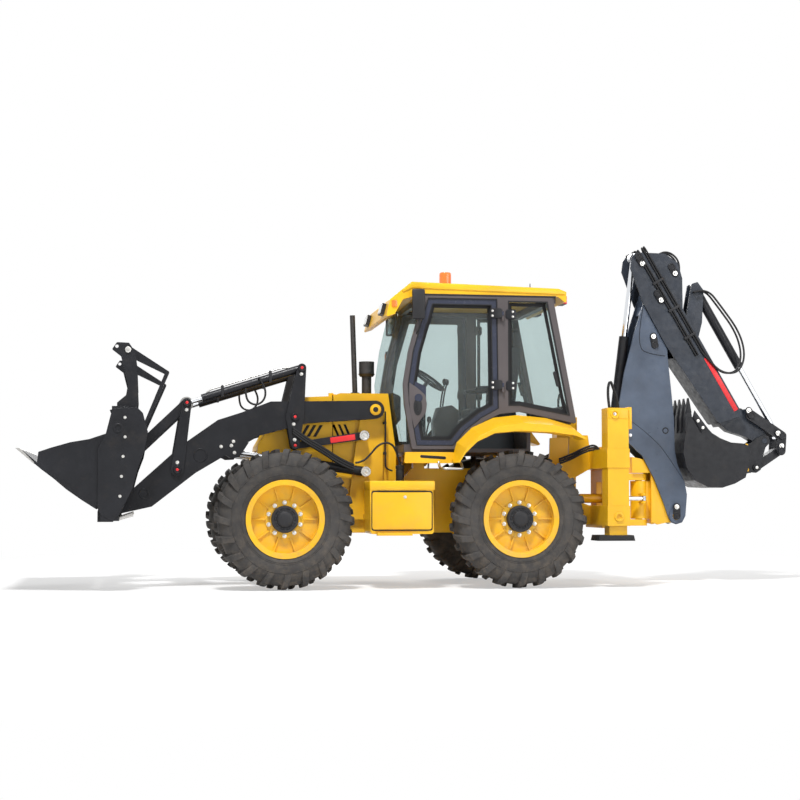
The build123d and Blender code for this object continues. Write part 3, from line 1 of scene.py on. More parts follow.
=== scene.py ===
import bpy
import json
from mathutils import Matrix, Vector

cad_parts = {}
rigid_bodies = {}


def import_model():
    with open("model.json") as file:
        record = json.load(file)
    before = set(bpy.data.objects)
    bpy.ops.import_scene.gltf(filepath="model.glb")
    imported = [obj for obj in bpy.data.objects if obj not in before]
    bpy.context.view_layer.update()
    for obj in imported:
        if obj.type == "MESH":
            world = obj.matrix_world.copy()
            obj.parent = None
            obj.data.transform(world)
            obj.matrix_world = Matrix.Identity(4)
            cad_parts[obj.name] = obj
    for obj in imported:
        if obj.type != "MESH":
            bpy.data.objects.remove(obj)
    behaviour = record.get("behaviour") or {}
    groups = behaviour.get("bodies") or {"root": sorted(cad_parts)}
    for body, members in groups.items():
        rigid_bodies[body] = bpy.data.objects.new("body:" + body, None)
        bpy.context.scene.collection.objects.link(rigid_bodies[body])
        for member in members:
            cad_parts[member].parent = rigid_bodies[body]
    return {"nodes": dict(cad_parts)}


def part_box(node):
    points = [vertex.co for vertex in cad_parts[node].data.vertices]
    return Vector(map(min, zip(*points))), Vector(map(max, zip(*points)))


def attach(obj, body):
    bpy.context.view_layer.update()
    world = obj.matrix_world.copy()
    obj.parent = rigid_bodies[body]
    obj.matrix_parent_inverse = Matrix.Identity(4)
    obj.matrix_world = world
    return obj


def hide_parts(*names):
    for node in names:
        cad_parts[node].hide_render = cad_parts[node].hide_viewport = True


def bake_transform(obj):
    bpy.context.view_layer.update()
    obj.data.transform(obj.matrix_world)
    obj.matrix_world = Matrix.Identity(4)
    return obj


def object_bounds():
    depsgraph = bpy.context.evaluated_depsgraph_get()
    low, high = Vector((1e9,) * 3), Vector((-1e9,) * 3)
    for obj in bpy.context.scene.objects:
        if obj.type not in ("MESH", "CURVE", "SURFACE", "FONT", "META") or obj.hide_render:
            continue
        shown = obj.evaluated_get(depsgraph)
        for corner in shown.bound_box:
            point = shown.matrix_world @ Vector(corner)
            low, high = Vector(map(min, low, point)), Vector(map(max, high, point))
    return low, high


bl_info = {
    "name": "Backhoe loader finish",
    "version": (1, 0, 0),
    "blender": (4, 5, 0),
    "location": "View3D > Sidebar > Backhoe",
    "description": "Paint, tyres, glass, pipes, bolts and a plain studio for a jointed backhoe loader",
    "category": "Object",
}

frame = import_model()

import json
import math

import bpy
from mathutils import Matrix, Vector

CAD_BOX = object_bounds()


def node_centre(node):
    """The middle of a construction node's box."""
    low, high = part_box(node)
    return (low + high) / 2


FRONT_WHEEL = node_centre("tyre_front_left")
REAR_WHEEL = node_centre("tyre_rear_left")
TYRE_LOW, TYRE_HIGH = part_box("tyre_front_left")
TYRE_RADIUS = (TYRE_HIGH.z - TYRE_LOW.z) / 2
TYRE_HALF_WIDTH = (TYRE_HIGH.y - TYRE_LOW.y) / 2


def spot(x, z, y=0.0):
    """A point given from the front axle's foot: ahead, up and to the left."""
    return Vector((FRONT_WHEEL.x + x, y, z))


# Settings

class BackhoePaint(bpy.types.PropertyGroup):
    """Colours of the painted and moulded surfaces."""
    yellow: bpy.props.FloatVectorProperty(
        name="Yellow", description="Body, wheels and legs", subtype="COLOR", size=3, default=(0.82, 0.45, 0.006))
    charcoal: bpy.props.FloatVectorProperty(
        name="Charcoal", description="Loader arms and buckets", subtype="COLOR", size=3,
        default=(0.0105, 0.011, 0.0135))
    slate: bpy.props.FloatVectorProperty(
        name="Slate", description="Boom", subtype="COLOR", size=3, default=(0.066, 0.086, 0.124))
    dark_slate: bpy.props.FloatVectorProperty(
        name="Dark slate", description="Dipper", subtype="COLOR", size=3, default=(0.021, 0.026, 0.036))
    door_navy: bpy.props.FloatVectorProperty(
        name="Door border", description="Printed border of the door's glass", subtype="COLOR", size=3,
        default=(0.028, 0.033, 0.056))
    cab_grey: bpy.props.FloatVectorProperty(
        name="Cab grey", description="Cab and door frames", subtype="COLOR", size=3, default=(0.085, 0.074, 0.076))
    signal_red: bpy.props.FloatVectorProperty(
        name="Red", description="Marking stripes", subtype="COLOR", size=3, default=(0.70, 0.02, 0.025))
    amber: bpy.props.FloatVectorProperty(
        name="Amber", description="Direction lamps", subtype="COLOR", size=3, default=(0.85, 0.18, 0.01))
    glass_tint: bpy.props.FloatVectorProperty(
        name="Glass tint", description="Cab glazing", subtype="COLOR", size=3, default=(0.87, 0.92, 0.918))
    dust: bpy.props.FloatVectorProperty(
        name="Dust", description="Dry dust on low surfaces", subtype="COLOR", size=3, default=(0.30, 0.23, 0.16))


class BackhoeTyre(bpy.types.PropertyGroup):
    """Sizes of the tyre's tread and side wall."""
    lugs: bpy.props.IntProperty(
        name="Lugs", description="Lugs on each half of the tread", default=20, min=10, max=30)
    lug_width: bpy.props.FloatProperty(
        name="Lug width", description="Width of a lug round the tread", default=0.085, unit="LENGTH")
    lug_height: bpy.props.FloatProperty(
        name="Lug height", description="Height of a lug over the tread's floor", default=0.036, unit="LENGTH")
    lug_reach: bpy.props.FloatProperty(
        name="Lug reach", description="Length of a lug over tread and shoulder", default=0.262, unit="LENGTH")
    lug_sweep: bpy.props.FloatProperty(
        name="Lug sweep", description="How far a lug's ends are apart round the tread", default=0.085, unit="LENGTH")


class BackhoeFittings(bpy.types.PropertyGroup):
    """Sizes of bolts, pipes and hoses."""
    bolt: bpy.props.FloatProperty(
        name="Bolt", description="Bolt head radius at the pins", default=0.017, unit="LENGTH")
    pipe: bpy.props.FloatProperty(
        name="Pipe", description="Radius of the steel pipes", default=0.009, unit="LENGTH")
    hose: bpy.props.FloatProperty(
        name="Hose", description="Radius of the rubber hoses", default=0.011, unit="LENGTH")


class BackhoeStudio(bpy.types.PropertyGroup):
    """The photograph's camera and the studio's light."""
    camera_place: bpy.props.FloatVectorProperty(
        name="Camera", description="From the front axle's foot", size=3, default=(1.4281, 17.3700, 0.9356),
        subtype="TRANSLATION", unit="LENGTH")
    yaw: bpy.props.FloatProperty(
        name="Yaw", description="Turn towards the rear", default=math.radians(9.062), subtype="ANGLE")
    pitch: bpy.props.FloatProperty(
        name="Pitch", description="Upward tilt", default=math.radians(3.424), subtype="ANGLE")
    focal_pixels: bpy.props.FloatProperty(
        name="Focal length", description="In pixels of an 800 pixel frame", default=1621.0)
    key_power: bpy.props.FloatProperty(
        name="Key", description="Strength of the high side light in watts", default=2700.0)


SETTINGS = {"backhoe_paint": BackhoePaint, "backhoe_tyre": BackhoeTyre, "backhoe_fittings": BackhoeFittings,
            "backhoe_studio": BackhoeStudio}


# Modelling helpers

def clear_selection():
    for piece in bpy.context.view_layer.objects:
        piece.select_set(False)
    bpy.context.view_layer.objects.active = None


def take(piece, *others):
    """Selects these pieces alone and makes the first the active one."""
    clear_selection()
    for other in others:
        other.select_set(True)
    piece.select_set(True)
    bpy.context.view_layer.objects.active = piece
    return piece


def set_down(piece):
    """Puts a piece's place, turn and size into its mesh."""
    take(piece)
    bpy.ops.object.transform_apply(location=True, rotation=True, scale=True)
    return piece


def rounded(piece, width, segments=2, angle=math.radians(30)):
    """Rounds a piece's sharp edges."""
    take(piece)
    edge = piece.modifiers.new("Edge", "BEVEL")
    edge.width = width
    edge.segments = segments
    edge.limit_method = "ANGLE"
    edge.angle_limit = angle
    bpy.ops.object.modifier_apply(modifier=edge.name)
    bpy.ops.object.shade_smooth_by_angle(angle=math.radians(35))
    return piece


def pressed_block(low, high, edge=0.004):
    """A block between two corners with rounded edges."""
    clear_selection()
    low = Vector(low)
    high = Vector(high)
    bpy.ops.mesh.primitive_cube_add(size=1, location=(low + high) / 2)
    piece = bpy.context.active_object
    piece.scale = [abs(value) for value in high - low]
    return rounded(set_down(piece), edge)


def turned(start, end, radius, edge=0.002, sides=32):
    """A turned bar from start to end."""
    clear_selection()
    start = Vector(start)
    end = Vector(end)
    reach = end - start
    bpy.ops.mesh.primitive_cone_add(
        vertices=sides, radius1=radius, radius2=radius, depth=reach.length,
        location=(start + end) / 2, rotation=reach.to_track_quat("Z", "Y").to_euler())
    piece = set_down(bpy.context.active_object)
    if edge:
        rounded(piece, edge)
    return piece


def cut_plate(points, low_y, high_y, edge=0.002, window=None):
    """A plate cut to a side outline between two distances to the left, with a window where one is given."""
    curve = bpy.data.curves.new("Outline", "CURVE")
    curve.dimensions = "2D"
    curve.fill_mode = "BOTH"
    curve.extrude = abs(high_y - low_y) / 2 - edge
    curve.bevel_depth = edge
    curve.bevel_resolution = 1
    curve.offset = -edge
    for outline in (points, window or []):
        if outline:
            spline = curve.splines.new("POLY")
            spline.points.add(len(outline) - 1)
            for point, (x, z) in zip(spline.points, outline):
                point.co = (FRONT_WHEEL.x + x, z, 0.0, 1.0)
            spline.use_cyclic_u = True
    piece = bpy.data.objects.new("Outline", curve)
    bpy.context.scene.collection.objects.link(piece)
    piece.rotation_euler = (math.pi / 2, 0.0, 0.0)
    piece.location = (0.0, (low_y + high_y) / 2, 0.0)
    take(piece)
    bpy.ops.object.convert(target="MESH")
    set_down(piece)
    bpy.ops.object.mode_set(mode="EDIT")
    bpy.ops.mesh.select_all(action="SELECT")
    bpy.ops.mesh.remove_doubles(threshold=0.00005)
    bpy.ops.mesh.normals_make_consistent(inside=False)
    bpy.ops.object.mode_set(mode="OBJECT")
    bpy.ops.object.shade_smooth_by_angle(angle=math.radians(35))
    return piece


def bent_pipe(points, radius, sides=3):
    """A pipe or hose along a smooth line through its guide points."""
    curve = bpy.data.curves.new("Route", "CURVE")
    curve.dimensions = "3D"
    curve.bevel_depth = radius
    curve.bevel_resolution = sides
    curve.resolution_u = 8
    curve.use_fill_caps = True
    spline = curve.splines.new("NURBS")
    spline.points.add(len(points) - 1)
    for guide, point in zip(spline.points, points):
        guide.co = (*point, 1.0)
    spline.order_u = 3
    spline.use_endpoint_u = True
    piece = bpy.data.objects.new("Route", curve)
    bpy.context.scene.collection.objects.link(piece)
    take(piece)
    bpy.ops.object.convert(target="MESH")
    bpy.ops.object.shade_smooth()
    return piece


def joined(pieces):
    """Several meshes as one piece."""
    take(pieces[0], *pieces[1:])
    if len(pieces) > 1:
        bpy.ops.object.join()
    return pieces[0]


def twin(piece, move=None):
    """A copy of a piece with its own mesh, moved where a move is given."""
    copy = piece.copy()
    copy.data = piece.data.copy()
    if move is not None:
        copy.data.transform(move)
    bpy.context.scene.collection.objects.link(copy)
    return copy


def repeated(piece, moves):
    """Copies of one piece at several moves, joined; the first one is used up."""
    copies = [twin(piece, move) for move in moves]
    bpy.data.objects.remove(piece)
    return joined(copies)


def switch_side(piece):
    """Mirrors a piece's mesh to the machine's other side, with its faces still outwards."""
    piece.data.transform(Matrix.Scale(-1, 4, Vector((0, 1, 0))))
    piece.data.flip_normals()
    return piece


def mirrored(piece):
    """The same piece on the right side of the machine, as a new one."""
    return switch_side(twin(piece))


def spin_section(points, steps, merge, smooth, closed=False):
    """A section of (radius, distance) points spun round the Y axis, with its doubles merged."""
    count = len(points)
    mesh = bpy.data.meshes.new("Turned")
    mesh.from_pydata([(radius, along, 0.0) for radius, along in points],
                     [(index, (index + 1) % count) for index in range(count if closed else count - 1)], [])
    piece = bpy.data.objects.new("Turned", mesh)
    bpy.context.scene.collection.objects.link(piece)
    take(piece)
    bpy.ops.object.mode_set(mode="EDIT")
    bpy.ops.mesh.select_all(action="SELECT")
    bpy.ops.mesh.spin(steps=steps, angle=math.tau, center=(0, 0, 0), axis=(0, 1, 0))
    bpy.ops.mesh.select_all(action="SELECT")
    bpy.ops.mesh.remove_doubles(threshold=merge)
    bpy.ops.mesh.normals_make_consistent(inside=False)
    bpy.ops.object.mode_set(mode="OBJECT")
    bpy.ops.object.shade_smooth_by_angle(angle=math.radians(smooth))
    return piece


FINISH = {}


def dress(piece, name, finish):
    """Puts a finished piece's place in its mesh, names it and gives it its finish and slot."""
    set_down(piece)
    piece.name = name
    piece.data.name = name
    piece.data.materials.clear()
    piece.data.materials.append(FINISH[finish])
    return piece


def mount(piece, name, finish, body):
    """Dresses a finished piece and lets it ride on its body."""
    dress(piece, name, finish)
    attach(piece, body)
    return piece


# Finishes

def new_finish(name):
    """An empty finish with its shader, its links and its object coordinates."""
    finish = bpy.data.materials.new(name)
    finish.use_nodes = True
    tree = finish.node_tree
    place = tree.nodes.new("ShaderNodeTexCoord")
    return finish, tree, tree.nodes["Principled BSDF"], place.outputs["Object"]


def noise(tree, place, scale, detail=4.0, roughness=0.55):
    texture = tree.nodes.new("ShaderNodeTexNoise")
    texture.inputs["Scale"].default_value = scale
    texture.inputs["Detail"].default_value = detail
    texture.inputs["Roughness"].default_value = roughness
    tree.links.new(place, texture.inputs["Vector"])
    return texture.outputs["Fac"]


def spread(tree, value, low, high, start=0.0, end=1.0):
    """Maps a value from low..high to start..end, held at both ends."""
    node = tree.nodes.new("ShaderNodeMapRange")
    node.inputs["From Min"].default_value = low
    node.inputs["From Max"].default_value = high
    node.inputs["To Min"].default_value = start
    node.inputs["To Max"].default_value = end
    tree.links.new(value, node.inputs["Value"])
    return node.outputs["Result"]


def product(tree, first, second):
    node = tree.nodes.new("ShaderNodeMath")
    node.operation = "MULTIPLY"
    tree.links.new(first, node.inputs[0])
    if isinstance(second, float):
        node.inputs[1].default_value = second
    else:
        tree.links.new(second, node.inputs[1])
    return node.outputs[0]


def blended(tree, amount, first, second):
    """A colour between two, by an amount."""
    node = tree.nodes.new("ShaderNodeMix")
    node.data_type = "RGBA"
    tree.links.new(amount, node.inputs["Factor"])
    for socket, colour in ((node.inputs[6], first), (node.inputs[7], second)):
        if isinstance(colour, bpy.types.NodeSocket):
            tree.links.new(colour, socket)
        else:
            socket.default_value = (*colour, 1.0)
    return node.outputs[2]


def height_of(tree, place):
    axes = tree.nodes.new("ShaderNodeSeparateXYZ")
    tree.links.new(place, axes.inputs[0])
    return axes.outputs["Z"]


def bumped(tree, shader, value, strength, distance, edge=0.0):
    """Bump from a value, over edges rounded by a small radius where one is given."""
    node = tree.nodes.new("ShaderNodeBump")
    node.inputs["Strength"].default_value = strength
    node.inputs["Distance"].default_value = distance
    tree.links.new(value, node.inputs["Height"])
    if edge:
        corner = tree.nodes.new("ShaderNodeBevel")
        corner.samples = 4
        corner.inputs["Radius"].default_value = edge
        tree.links.new(corner.outputs[0], node.inputs["Normal"])
    tree.links.new(node.outputs[0], shader.inputs["Normal"])


def scaled(colour, factor):
    return tuple(min(1.0, value * factor) for value in colour)


def paint(name, colour, gloss, dust, dust_amount=0.35, dust_top=1.3, coat=0.0, shine=0.45):
    """Sprayed paint with a slight orange peel, uneven tone and dust low down."""
    finish, tree, shader, place = new_finish(name)
    tone = spread(tree, noise(tree, place, 2.2, 6.0), 0.3, 0.7)
    body = blended(tree, tone, scaled(colour, 0.86), scaled(colour, 1.08))
    grime = spread(tree, noise(tree, place, 7.0, 8.0, 0.7), 0.42, 0.72)
    low_down = spread(tree, height_of(tree, place), dust_top, 0.25)
    amount = product(tree, product(tree, grime, low_down), dust_amount)
    tree.links.new(blended(tree, amount, body, dust), shader.inputs["Base Color"])
    wear = spread(tree, noise(tree, place, 30.0, 5.0), 0.3, 0.7, gloss - 0.05, gloss + 0.12)
    tree.links.new(wear, shader.inputs["Roughness"])
    shader.inputs["Specular IOR Level"].default_value = shine
    shader.inputs["Coat Weight"].default_value = coat
    shader.inputs["Coat Roughness"].default_value = 0.12
    bumped(tree, shader, noise(tree, place, 260.0, 2.0), 0.05, 0.0006, 0.004)
    return finish


def worn_paint(name, colour, worn, gloss, dust):
    """Dark working paint with rubbed corners and dust in its hollows."""
    finish, tree, shader, place = new_finish(name)
    tone = spread(tree, noise(tree, place, 3.1, 7.0), 0.3, 0.7)
    body = blended(tree, tone, scaled(colour, 0.8), scaled(colour, 1.35))
    scuffs = spread(tree, noise(tree, place, 46.0, 8.0, 0.75), 0.66, 0.76, 0.0, 0.35)
    rubbed = blended(tree, scuffs, body, worn)
    grime = spread(tree, noise(tree, place, 5.0, 8.0, 0.7), 0.55, 0.85, 0.0, 0.06)
    tree.links.new(blended(tree, grime, rubbed, dust), shader.inputs["Base Color"])
    wear = spread(tree, noise(tree, place, 18.0, 6.0), 0.3, 0.7, gloss - 0.08, gloss + 0.16)
    tree.links.new(wear, shader.inputs["Roughness"])
    shader.inputs["Specular IOR Level"].default_value = 0.26
    bumped(tree, shader, noise(tree, place, 120.0, 4.0), 0.09, 0.0008, 0.004)
    return finish


def tyre_rubber(name, dust):
    """Dark rubber, greyed on the side walls and dusty on the tread."""
    finish, tree, shader, place = new_finish(name)
    tone = spread(tree, noise(tree, place, 3.0, 8.0, 0.7), 0.3, 0.75)
    body = blended(tree, tone, (0.026, 0.025, 0.025), (0.066, 0.062, 0.059))
    powder = spread(tree, noise(tree, place, 11.0, 9.0, 0.75), 0.45, 0.75, 0.0, 0.34)
    low_down = spread(tree, height_of(tree, place), 0.75, 0.0, 0.35, 1.0)
    amount = product(tree, powder, low_down)
    tree.links.new(blended(tree, amount, body, dust), shader.inputs["Base Color"])
    shader.inputs["Roughness"].default_value = 0.78
    shader.inputs["Specular IOR Level"].default_value = 0.35
    bumped(tree, shader, noise(tree, place, 90.0, 6.0, 0.7), 0.25, 0.0015)
    return finish


def bare_metal(name, colour, gloss, stain=0.25):
    """Turned or rubbed steel with faint stains."""
    finish, tree, shader, place = new_finish(name)
    stains = spread(tree, noise(tree, place, 14.0, 8.0, 0.7), 0.45, 0.8, 0.0, stain)
    tree.links.new(blended(tree, stains, colour, scaled(colour, 0.35)), shader.inputs["Base Color"])
    shader.inputs["Metallic"].default_value = 1.0
    wear = spread(tree, noise(tree, place, 60.0, 5.0), 0.3, 0.7, gloss, gloss + 0.12)
    tree.links.new(wear, shader.inputs["Roughness"])
    return finish


def moulded(name, colour, gloss, grain=220.0):
    """Moulded plastic or hose rubber with a fine grain."""
    finish, tree, shader, place = new_finish(name)
    tone = spread(tree, noise(tree, place, 5.0, 5.0), 0.3, 0.7)
    tree.links.new(blended(tree, tone, scaled(colour, 0.8), scaled(colour, 1.25)), shader.inputs["Base Color"])
    shader.inputs["Roughness"].default_value = gloss
    shader.inputs["Specular IOR Level"].default_value = 0.3
    bumped(tree, shader, noise(tree, place, grain, 3.0), 0.12, 0.0006, 0.002)
    return finish


def tinted_glass(name, tint, clear):
    """Thin tinted glass that lets straight light through, with a sharp reflection."""
    finish, tree, shader, place = new_finish(name)
    shader.inputs["Base Color"].default_value = (*scaled(tint, 0.35), 1.0)
    shader.inputs["Roughness"].default_value = 0.03
    through = tree.nodes.new("ShaderNodeBsdfTransparent")
    through.inputs["Color"].default_value = (*tint, 1.0)
    sheen = tree.nodes.new("ShaderNodeMixShader")
    smear = spread(tree, noise(tree, place, 1.6, 4.0), 0.35, 0.7, 1.0 - clear, 1.04 - clear)
    tree.links.new(smear, sheen.inputs[0])
    tree.links.new(through.outputs[0], sheen.inputs[1])
    tree.links.new(shader.outputs[0], sheen.inputs[2])
    tree.links.new(sheen.outputs[0], tree.nodes["Material Output"].inputs["Surface"])
    return finish


def lamp_lens(name, colour, glow=0.0):
    """A ribbed coloured lens."""
    finish, tree, shader, place = new_finish(name)
    ribs = tree.nodes.new("ShaderNodeTexWave")
    ribs.inputs["Scale"].default_value = 40.0
    tree.links.new(place, ribs.inputs["Vector"])
    amount = spread(tree, ribs.outputs["Fac"], 0.2, 0.8)
    tree.links.new(blended(tree, amount, scaled(colour, 0.75), colour), shader.inputs["Base Color"])
    shader.inputs["Roughness"].default_value = 0.12
    shader.inputs["Coat Weight"].default_value = 0.6
    shader.inputs["Emission Color"].default_value = (*colour, 1.0)
    shader.inputs["Emission Strength"].default_value = glow
    bumped(tree, shader, ribs.outputs["Fac"], 0.3, 0.001)
    return finish


def seat_cloth(name):
    """Dark woven seat cloth."""
    finish, tree, shader, place = new_finish(name)
    weave = tree.nodes.new("ShaderNodeTexChecker")
    weave.inputs["Scale"].default_value = 320.0
    tree.links.new(place, weave.inputs["Vector"])
    tree.links.new(blended(tree, weave.outputs["Fac"], (0.03, 0.03, 0.034), (0.05, 0.05, 0.056)),
                   shader.inputs["Base Color"])
    shader.inputs["Roughness"].default_value = 0.9
    bumped(tree, shader, weave.outputs["Fac"], 0.2, 0.0008)
    return finish


def make_finishes(colours):
    dust = tuple(colours.dust)
    yellow = tuple(colours.yellow)
    charcoal = tuple(colours.charcoal)
    slate = tuple(colours.slate)
    FINISH["yellow"] = paint("Yellow paint", yellow, 0.34, dust, 0.2, coat=0.08)
    FINISH["wheel_yellow"] = paint("Wheel paint", yellow, 0.34, dust, 0.55, 1.5)
    FINISH["charcoal"] = worn_paint("Charcoal paint", charcoal, (0.05, 0.05, 0.055), 0.36, dust)
    FINISH["slate"] = worn_paint("Slate paint", slate, scaled(slate, 1.6), 0.34, dust)
    dark_slate = tuple(colours.dark_slate)
    FINISH["dark_slate"] = worn_paint("Dipper paint", dark_slate, scaled(dark_slate, 1.6), 0.34, dust)
    FINISH["door_navy"] = paint("Door border", tuple(colours.door_navy), 0.18, dust, 0.05, shine=0.4)
    FINISH["frame_black"] = worn_paint("Chassis paint", (0.018, 0.017, 0.017), (0.06, 0.05, 0.045), 0.55, dust)
    FINISH["cab_grey"] = paint("Cab frame paint", tuple(colours.cab_grey), 0.42, dust, 0.1, shine=0.28)
    FINISH["black_plastic"] = moulded("Black plastic", (0.018, 0.018, 0.020), 0.5)
    FINISH["hose"] = moulded("Hose rubber", (0.013, 0.013, 0.014), 0.55, 500.0)
    # Black moulded finish for the real seals and glass borders, also used as painted shade in the roof gap, the box
    # lid's gaps, the skirt slot, the louvre slots and the boom's hole.
    FINISH["seal_and_painted_shade"] = moulded("Seal rubber and painted shade", (0.012, 0.012, 0.013), 0.6)
    FINISH["rubber"] = tyre_rubber("Tyre rubber", dust)
    FINISH["chrome"] = bare_metal("Chromed rod", (0.75, 0.77, 0.80), 0.08, 0.1)
    FINISH["steel"] = bare_metal("Bare steel", (0.50, 0.49, 0.47), 0.28)
    FINISH["zinc"] = bare_metal("Zinc plated bolts", (0.70, 0.69, 0.66), 0.22)
    FINISH["exhaust"] = bare_metal("Exhaust steel", (0.075, 0.07, 0.068), 0.5, 0.5)
    FINISH["glass"] = tinted_glass("Cab glass", tuple(colours.glass_tint), 0.93)
    FINISH["red"] = paint("Red stripe", tuple(colours.signal_red), 0.35, dust, 0.1)
    FINISH["amber"] = lamp_lens("Amber lens", tuple(colours.amber), 0.15)
    FINISH["red_lens"] = lamp_lens("Red lens", tuple(colours.signal_red), 0.1)
    FINISH["clear_lens"] = lamp_lens("Clear lens", (0.75, 0.77, 0.78), 0.0)
    FINISH["cloth"] = seat_cloth("Seat cloth")


NODE_FINISH = {
    "yellow": ("cowl", "bonnet_lid", "fenders", "carriage", "kingpost", "rear_frame", "stabiliser_left",
               "stabiliser_right", "cab_roof", "main_frame"),
    "wheel_yellow": ("rim_front_left", "rim_front_right", "rim_rear_left", "rim_rear_right"),
    "rubber": ("tyre_front_left", "tyre_front_right", "tyre_rear_left", "tyre_rear_right"),
    "frame_black": ("power_train", "knuckle_left", "knuckle_right"),
    "cab_grey": ("cab_frame",),
    "door_navy": ("door_left", "door_right"),
    "glass": ("cab_glass", "door_glass_left", "door_glass_right"),
    "cloth": ("cab_interior",),
    "black_plastic": ("lamps",),
    "exhaust": ("exhaust",),
    "charcoal": ("loader_arms", "rear_levers", "front_levers", "levelling_links", "front_bucket", "clam",
                 "fork_tines", "lift_barrels", "tilt_barrels", "bucket_links", "hoe_bucket", "hoe_levers",
                 "hoe_link", "boom_barrel", "dipper_barrel", "bucket_barrel"),
    "chrome": ("lift_rods", "tilt_rods", "boom_rod", "dipper_rod", "bucket_rod", "swing_rod_left",
               "swing_rod_right"),
    "steel": ("front_lever_pins", "lever_top_pins", "bucket_pins"),
    "slate": ("boom",),
    "dark_slate": ("dipper", "inner_dipper"),
}


class BACKHOE_OT_finishes(bpy.types.Operator):
    """Makes the finishes and puts them on the construction nodes"""
    bl_idname = "backhoe.finishes"
    bl_label = "Finishes"

    def execute(self, context):
        make_finishes(context.scene.backhoe_paint)
        for finish, nodes in NODE_FINISH.items():
            for node in nodes:
                mesh = frame["nodes"][node].data
                mesh.materials.clear()
                mesh.materials.append(FINISH[finish])
        return {"FINISHED"}


# Tyres

BEAD_RADIUS = 0.352
SIDE_RINGS = ((0.437, 0.0175), (0.452, 0.0125), (0.540, 0.0035))      # radius, distance inside the tyre's side


def tyre_outline():
    """The tyre's outer half section: radius and distance from the tread's middle, tread to bead."""
    tread = TYRE_RADIUS - bpy.context.scene.backhoe_tyre.lug_height
    side = TYRE_HALF_WIDTH
    return [(tread, 0.0), (tread - 0.001, 0.060), (tread - 0.006, 0.115), (tread - 0.022, 0.157),
            (tread - 0.052, 0.182), (tread - 0.10, side - 0.006), (tread - 0.16, side - 0.002), (0.470, side - 0.007),
            (0.430, side - 0.020), (0.405, side - 0.032), (0.396, side - 0.040)]


def along_outline(outline, distance):
    """The point and outward direction at a distance along the section."""
    for (r1, y1), (r2, y2) in zip(outline, outline[1:]):
        step = math.hypot(r2 - r1, y2 - y1)
        if distance <= step:
            share = distance / step
            return (r1 + (r2 - r1) * share, y1 + (y2 - y1) * share), ((y2 - y1) / step, (r1 - r2) / step)
        distance -= step
    (r1, y1), (r2, y2) = outline[-2:]
    step = math.hypot(r2 - r1, y2 - y1)
    return (r2, y2), ((y2 - y1) / step, (r1 - r2) / step)


def tyre_carcass(outline):
    """The carcass spun round the axle and closed under its beads."""
    bead_side = TYRE_HALF_WIDTH - 0.050
    whole = [(radius, -side) for radius, side in reversed(outline)] + outline[1:]
    whole += [(BEAD_RADIUS, bead_side), (BEAD_RADIUS, -bead_side)]
    return spin_section(whole, 96, 0.0002, 40, closed=True)


def tread_lug(outline, sizes):
    """One bar of the tread, laid over tread and shoulder and thinning out on the side wall."""
    clear_selection()
    bpy.ops.mesh.primitive_cube_add(size=1)
    piece = bpy.context.active_object
    bpy.ops.object.mode_set(mode="EDIT")
    bpy.ops.mesh.select_all(action="SELECT")
    bpy.ops.mesh.subdivide(number_cuts=7)
    bpy.ops.object.mode_set(mode="OBJECT")
    reach = sizes.lug_reach
    for vertex in piece.data.vertices:
        share = vertex.co.y + 0.5
        across = vertex.co.x
        top = vertex.co.z + 0.5
        (radius, side), (out_radius, out_side) = along_outline(outline, 0.012 + share * reach)
        fade = 1.0 if share < 0.62 else max(0.10, 1.0 - (share - 0.62) / 0.42)
        width = sizes.lug_width * (0.62 + 0.50 * share) * (1.0 - 0.16 * top)
        rise = sizes.lug_height * fade * top - 0.004 * (1.0 - top)
        turn = (across * width + sizes.lug_sweep * (share ** 1.3 - 0.5)) / TYRE_RADIUS
        radius += out_radius * rise
        side += out_side * rise
        vertex.co = (radius * math.sin(turn), side, radius * math.cos(turn))
    rounded(piece, 0.004, 1, math.radians(50))
    return piece


def treaded_tyre(sizes):
    """The carcass, both halves of the tread and the fine rings on the side walls."""
    outline = tyre_outline()
    pieces = [tyre_carcass(outline)]
    pitch = math.tau / sizes.lugs
    for flip, offset in ((1, 0.0), (-1, 0.5)):
        lug = tread_lug(outline, sizes)
        if flip < 0:
            switch_side(lug)
        pieces.append(repeated(lug, [Matrix.Rotation(pitch * (index + offset), 4, "Y")
                                     for index in range(sizes.lugs)]))
    for radius, inside in SIDE_RINGS:
        side = TYRE_HALF_WIDTH - inside
        for flip in (1, -1):
            clear_selection()
            bpy.ops.mesh.primitive_torus_add(location=(0, side * flip, 0), rotation=(math.pi / 2, 0, 0),
                                             major_radius=radius, minor_radius=0.0035, major_segments=96,
                                             minor_segments=6)
            ring = set_down(bpy.context.active_object)
            bpy.ops.object.shade_smooth()
            pieces.append(ring)
    return joined(pieces)


class BACKHOE_OT_tyres(bpy.types.Operator):
    """Builds one treaded tyre and fits a copy over each wheel"""
    bl_idname = "backhoe.tyres"
    bl_label = "Tyres"

    def execute(self, context):
        tyre = treaded_tyre(context.scene.backhoe_tyre)
        for axle in ("front", "rear"):
            for side in ("left", "right"):
                node = f"tyre_{axle}_{side}"
                copy = twin(tyre)
                if side == "right":
                    switch_side(copy)
                copy.data.transform(Matrix.Translation(node_centre(node)))
                mount(copy, f"Tyre_{axle}_{side}", "rubber", f"wheel_{axle}_{side}")
                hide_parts(node)
        bpy.data.objects.remove(tyre)
        return {"FINISHED"}


# Shapes shared by the fittings

def spun(profile, centre, axis="Y", steps=48):
    """A turned shape from (radius, distance) points, about an axis through a centre."""
    piece = spin_section(profile, steps, 0.00005, 35)
    if axis == "Z":
        piece.data.transform(Matrix.Rotation(math.pi / 2, 4, "X"))
    piece.data.transform(Matrix.Translation(centre))
    return piece


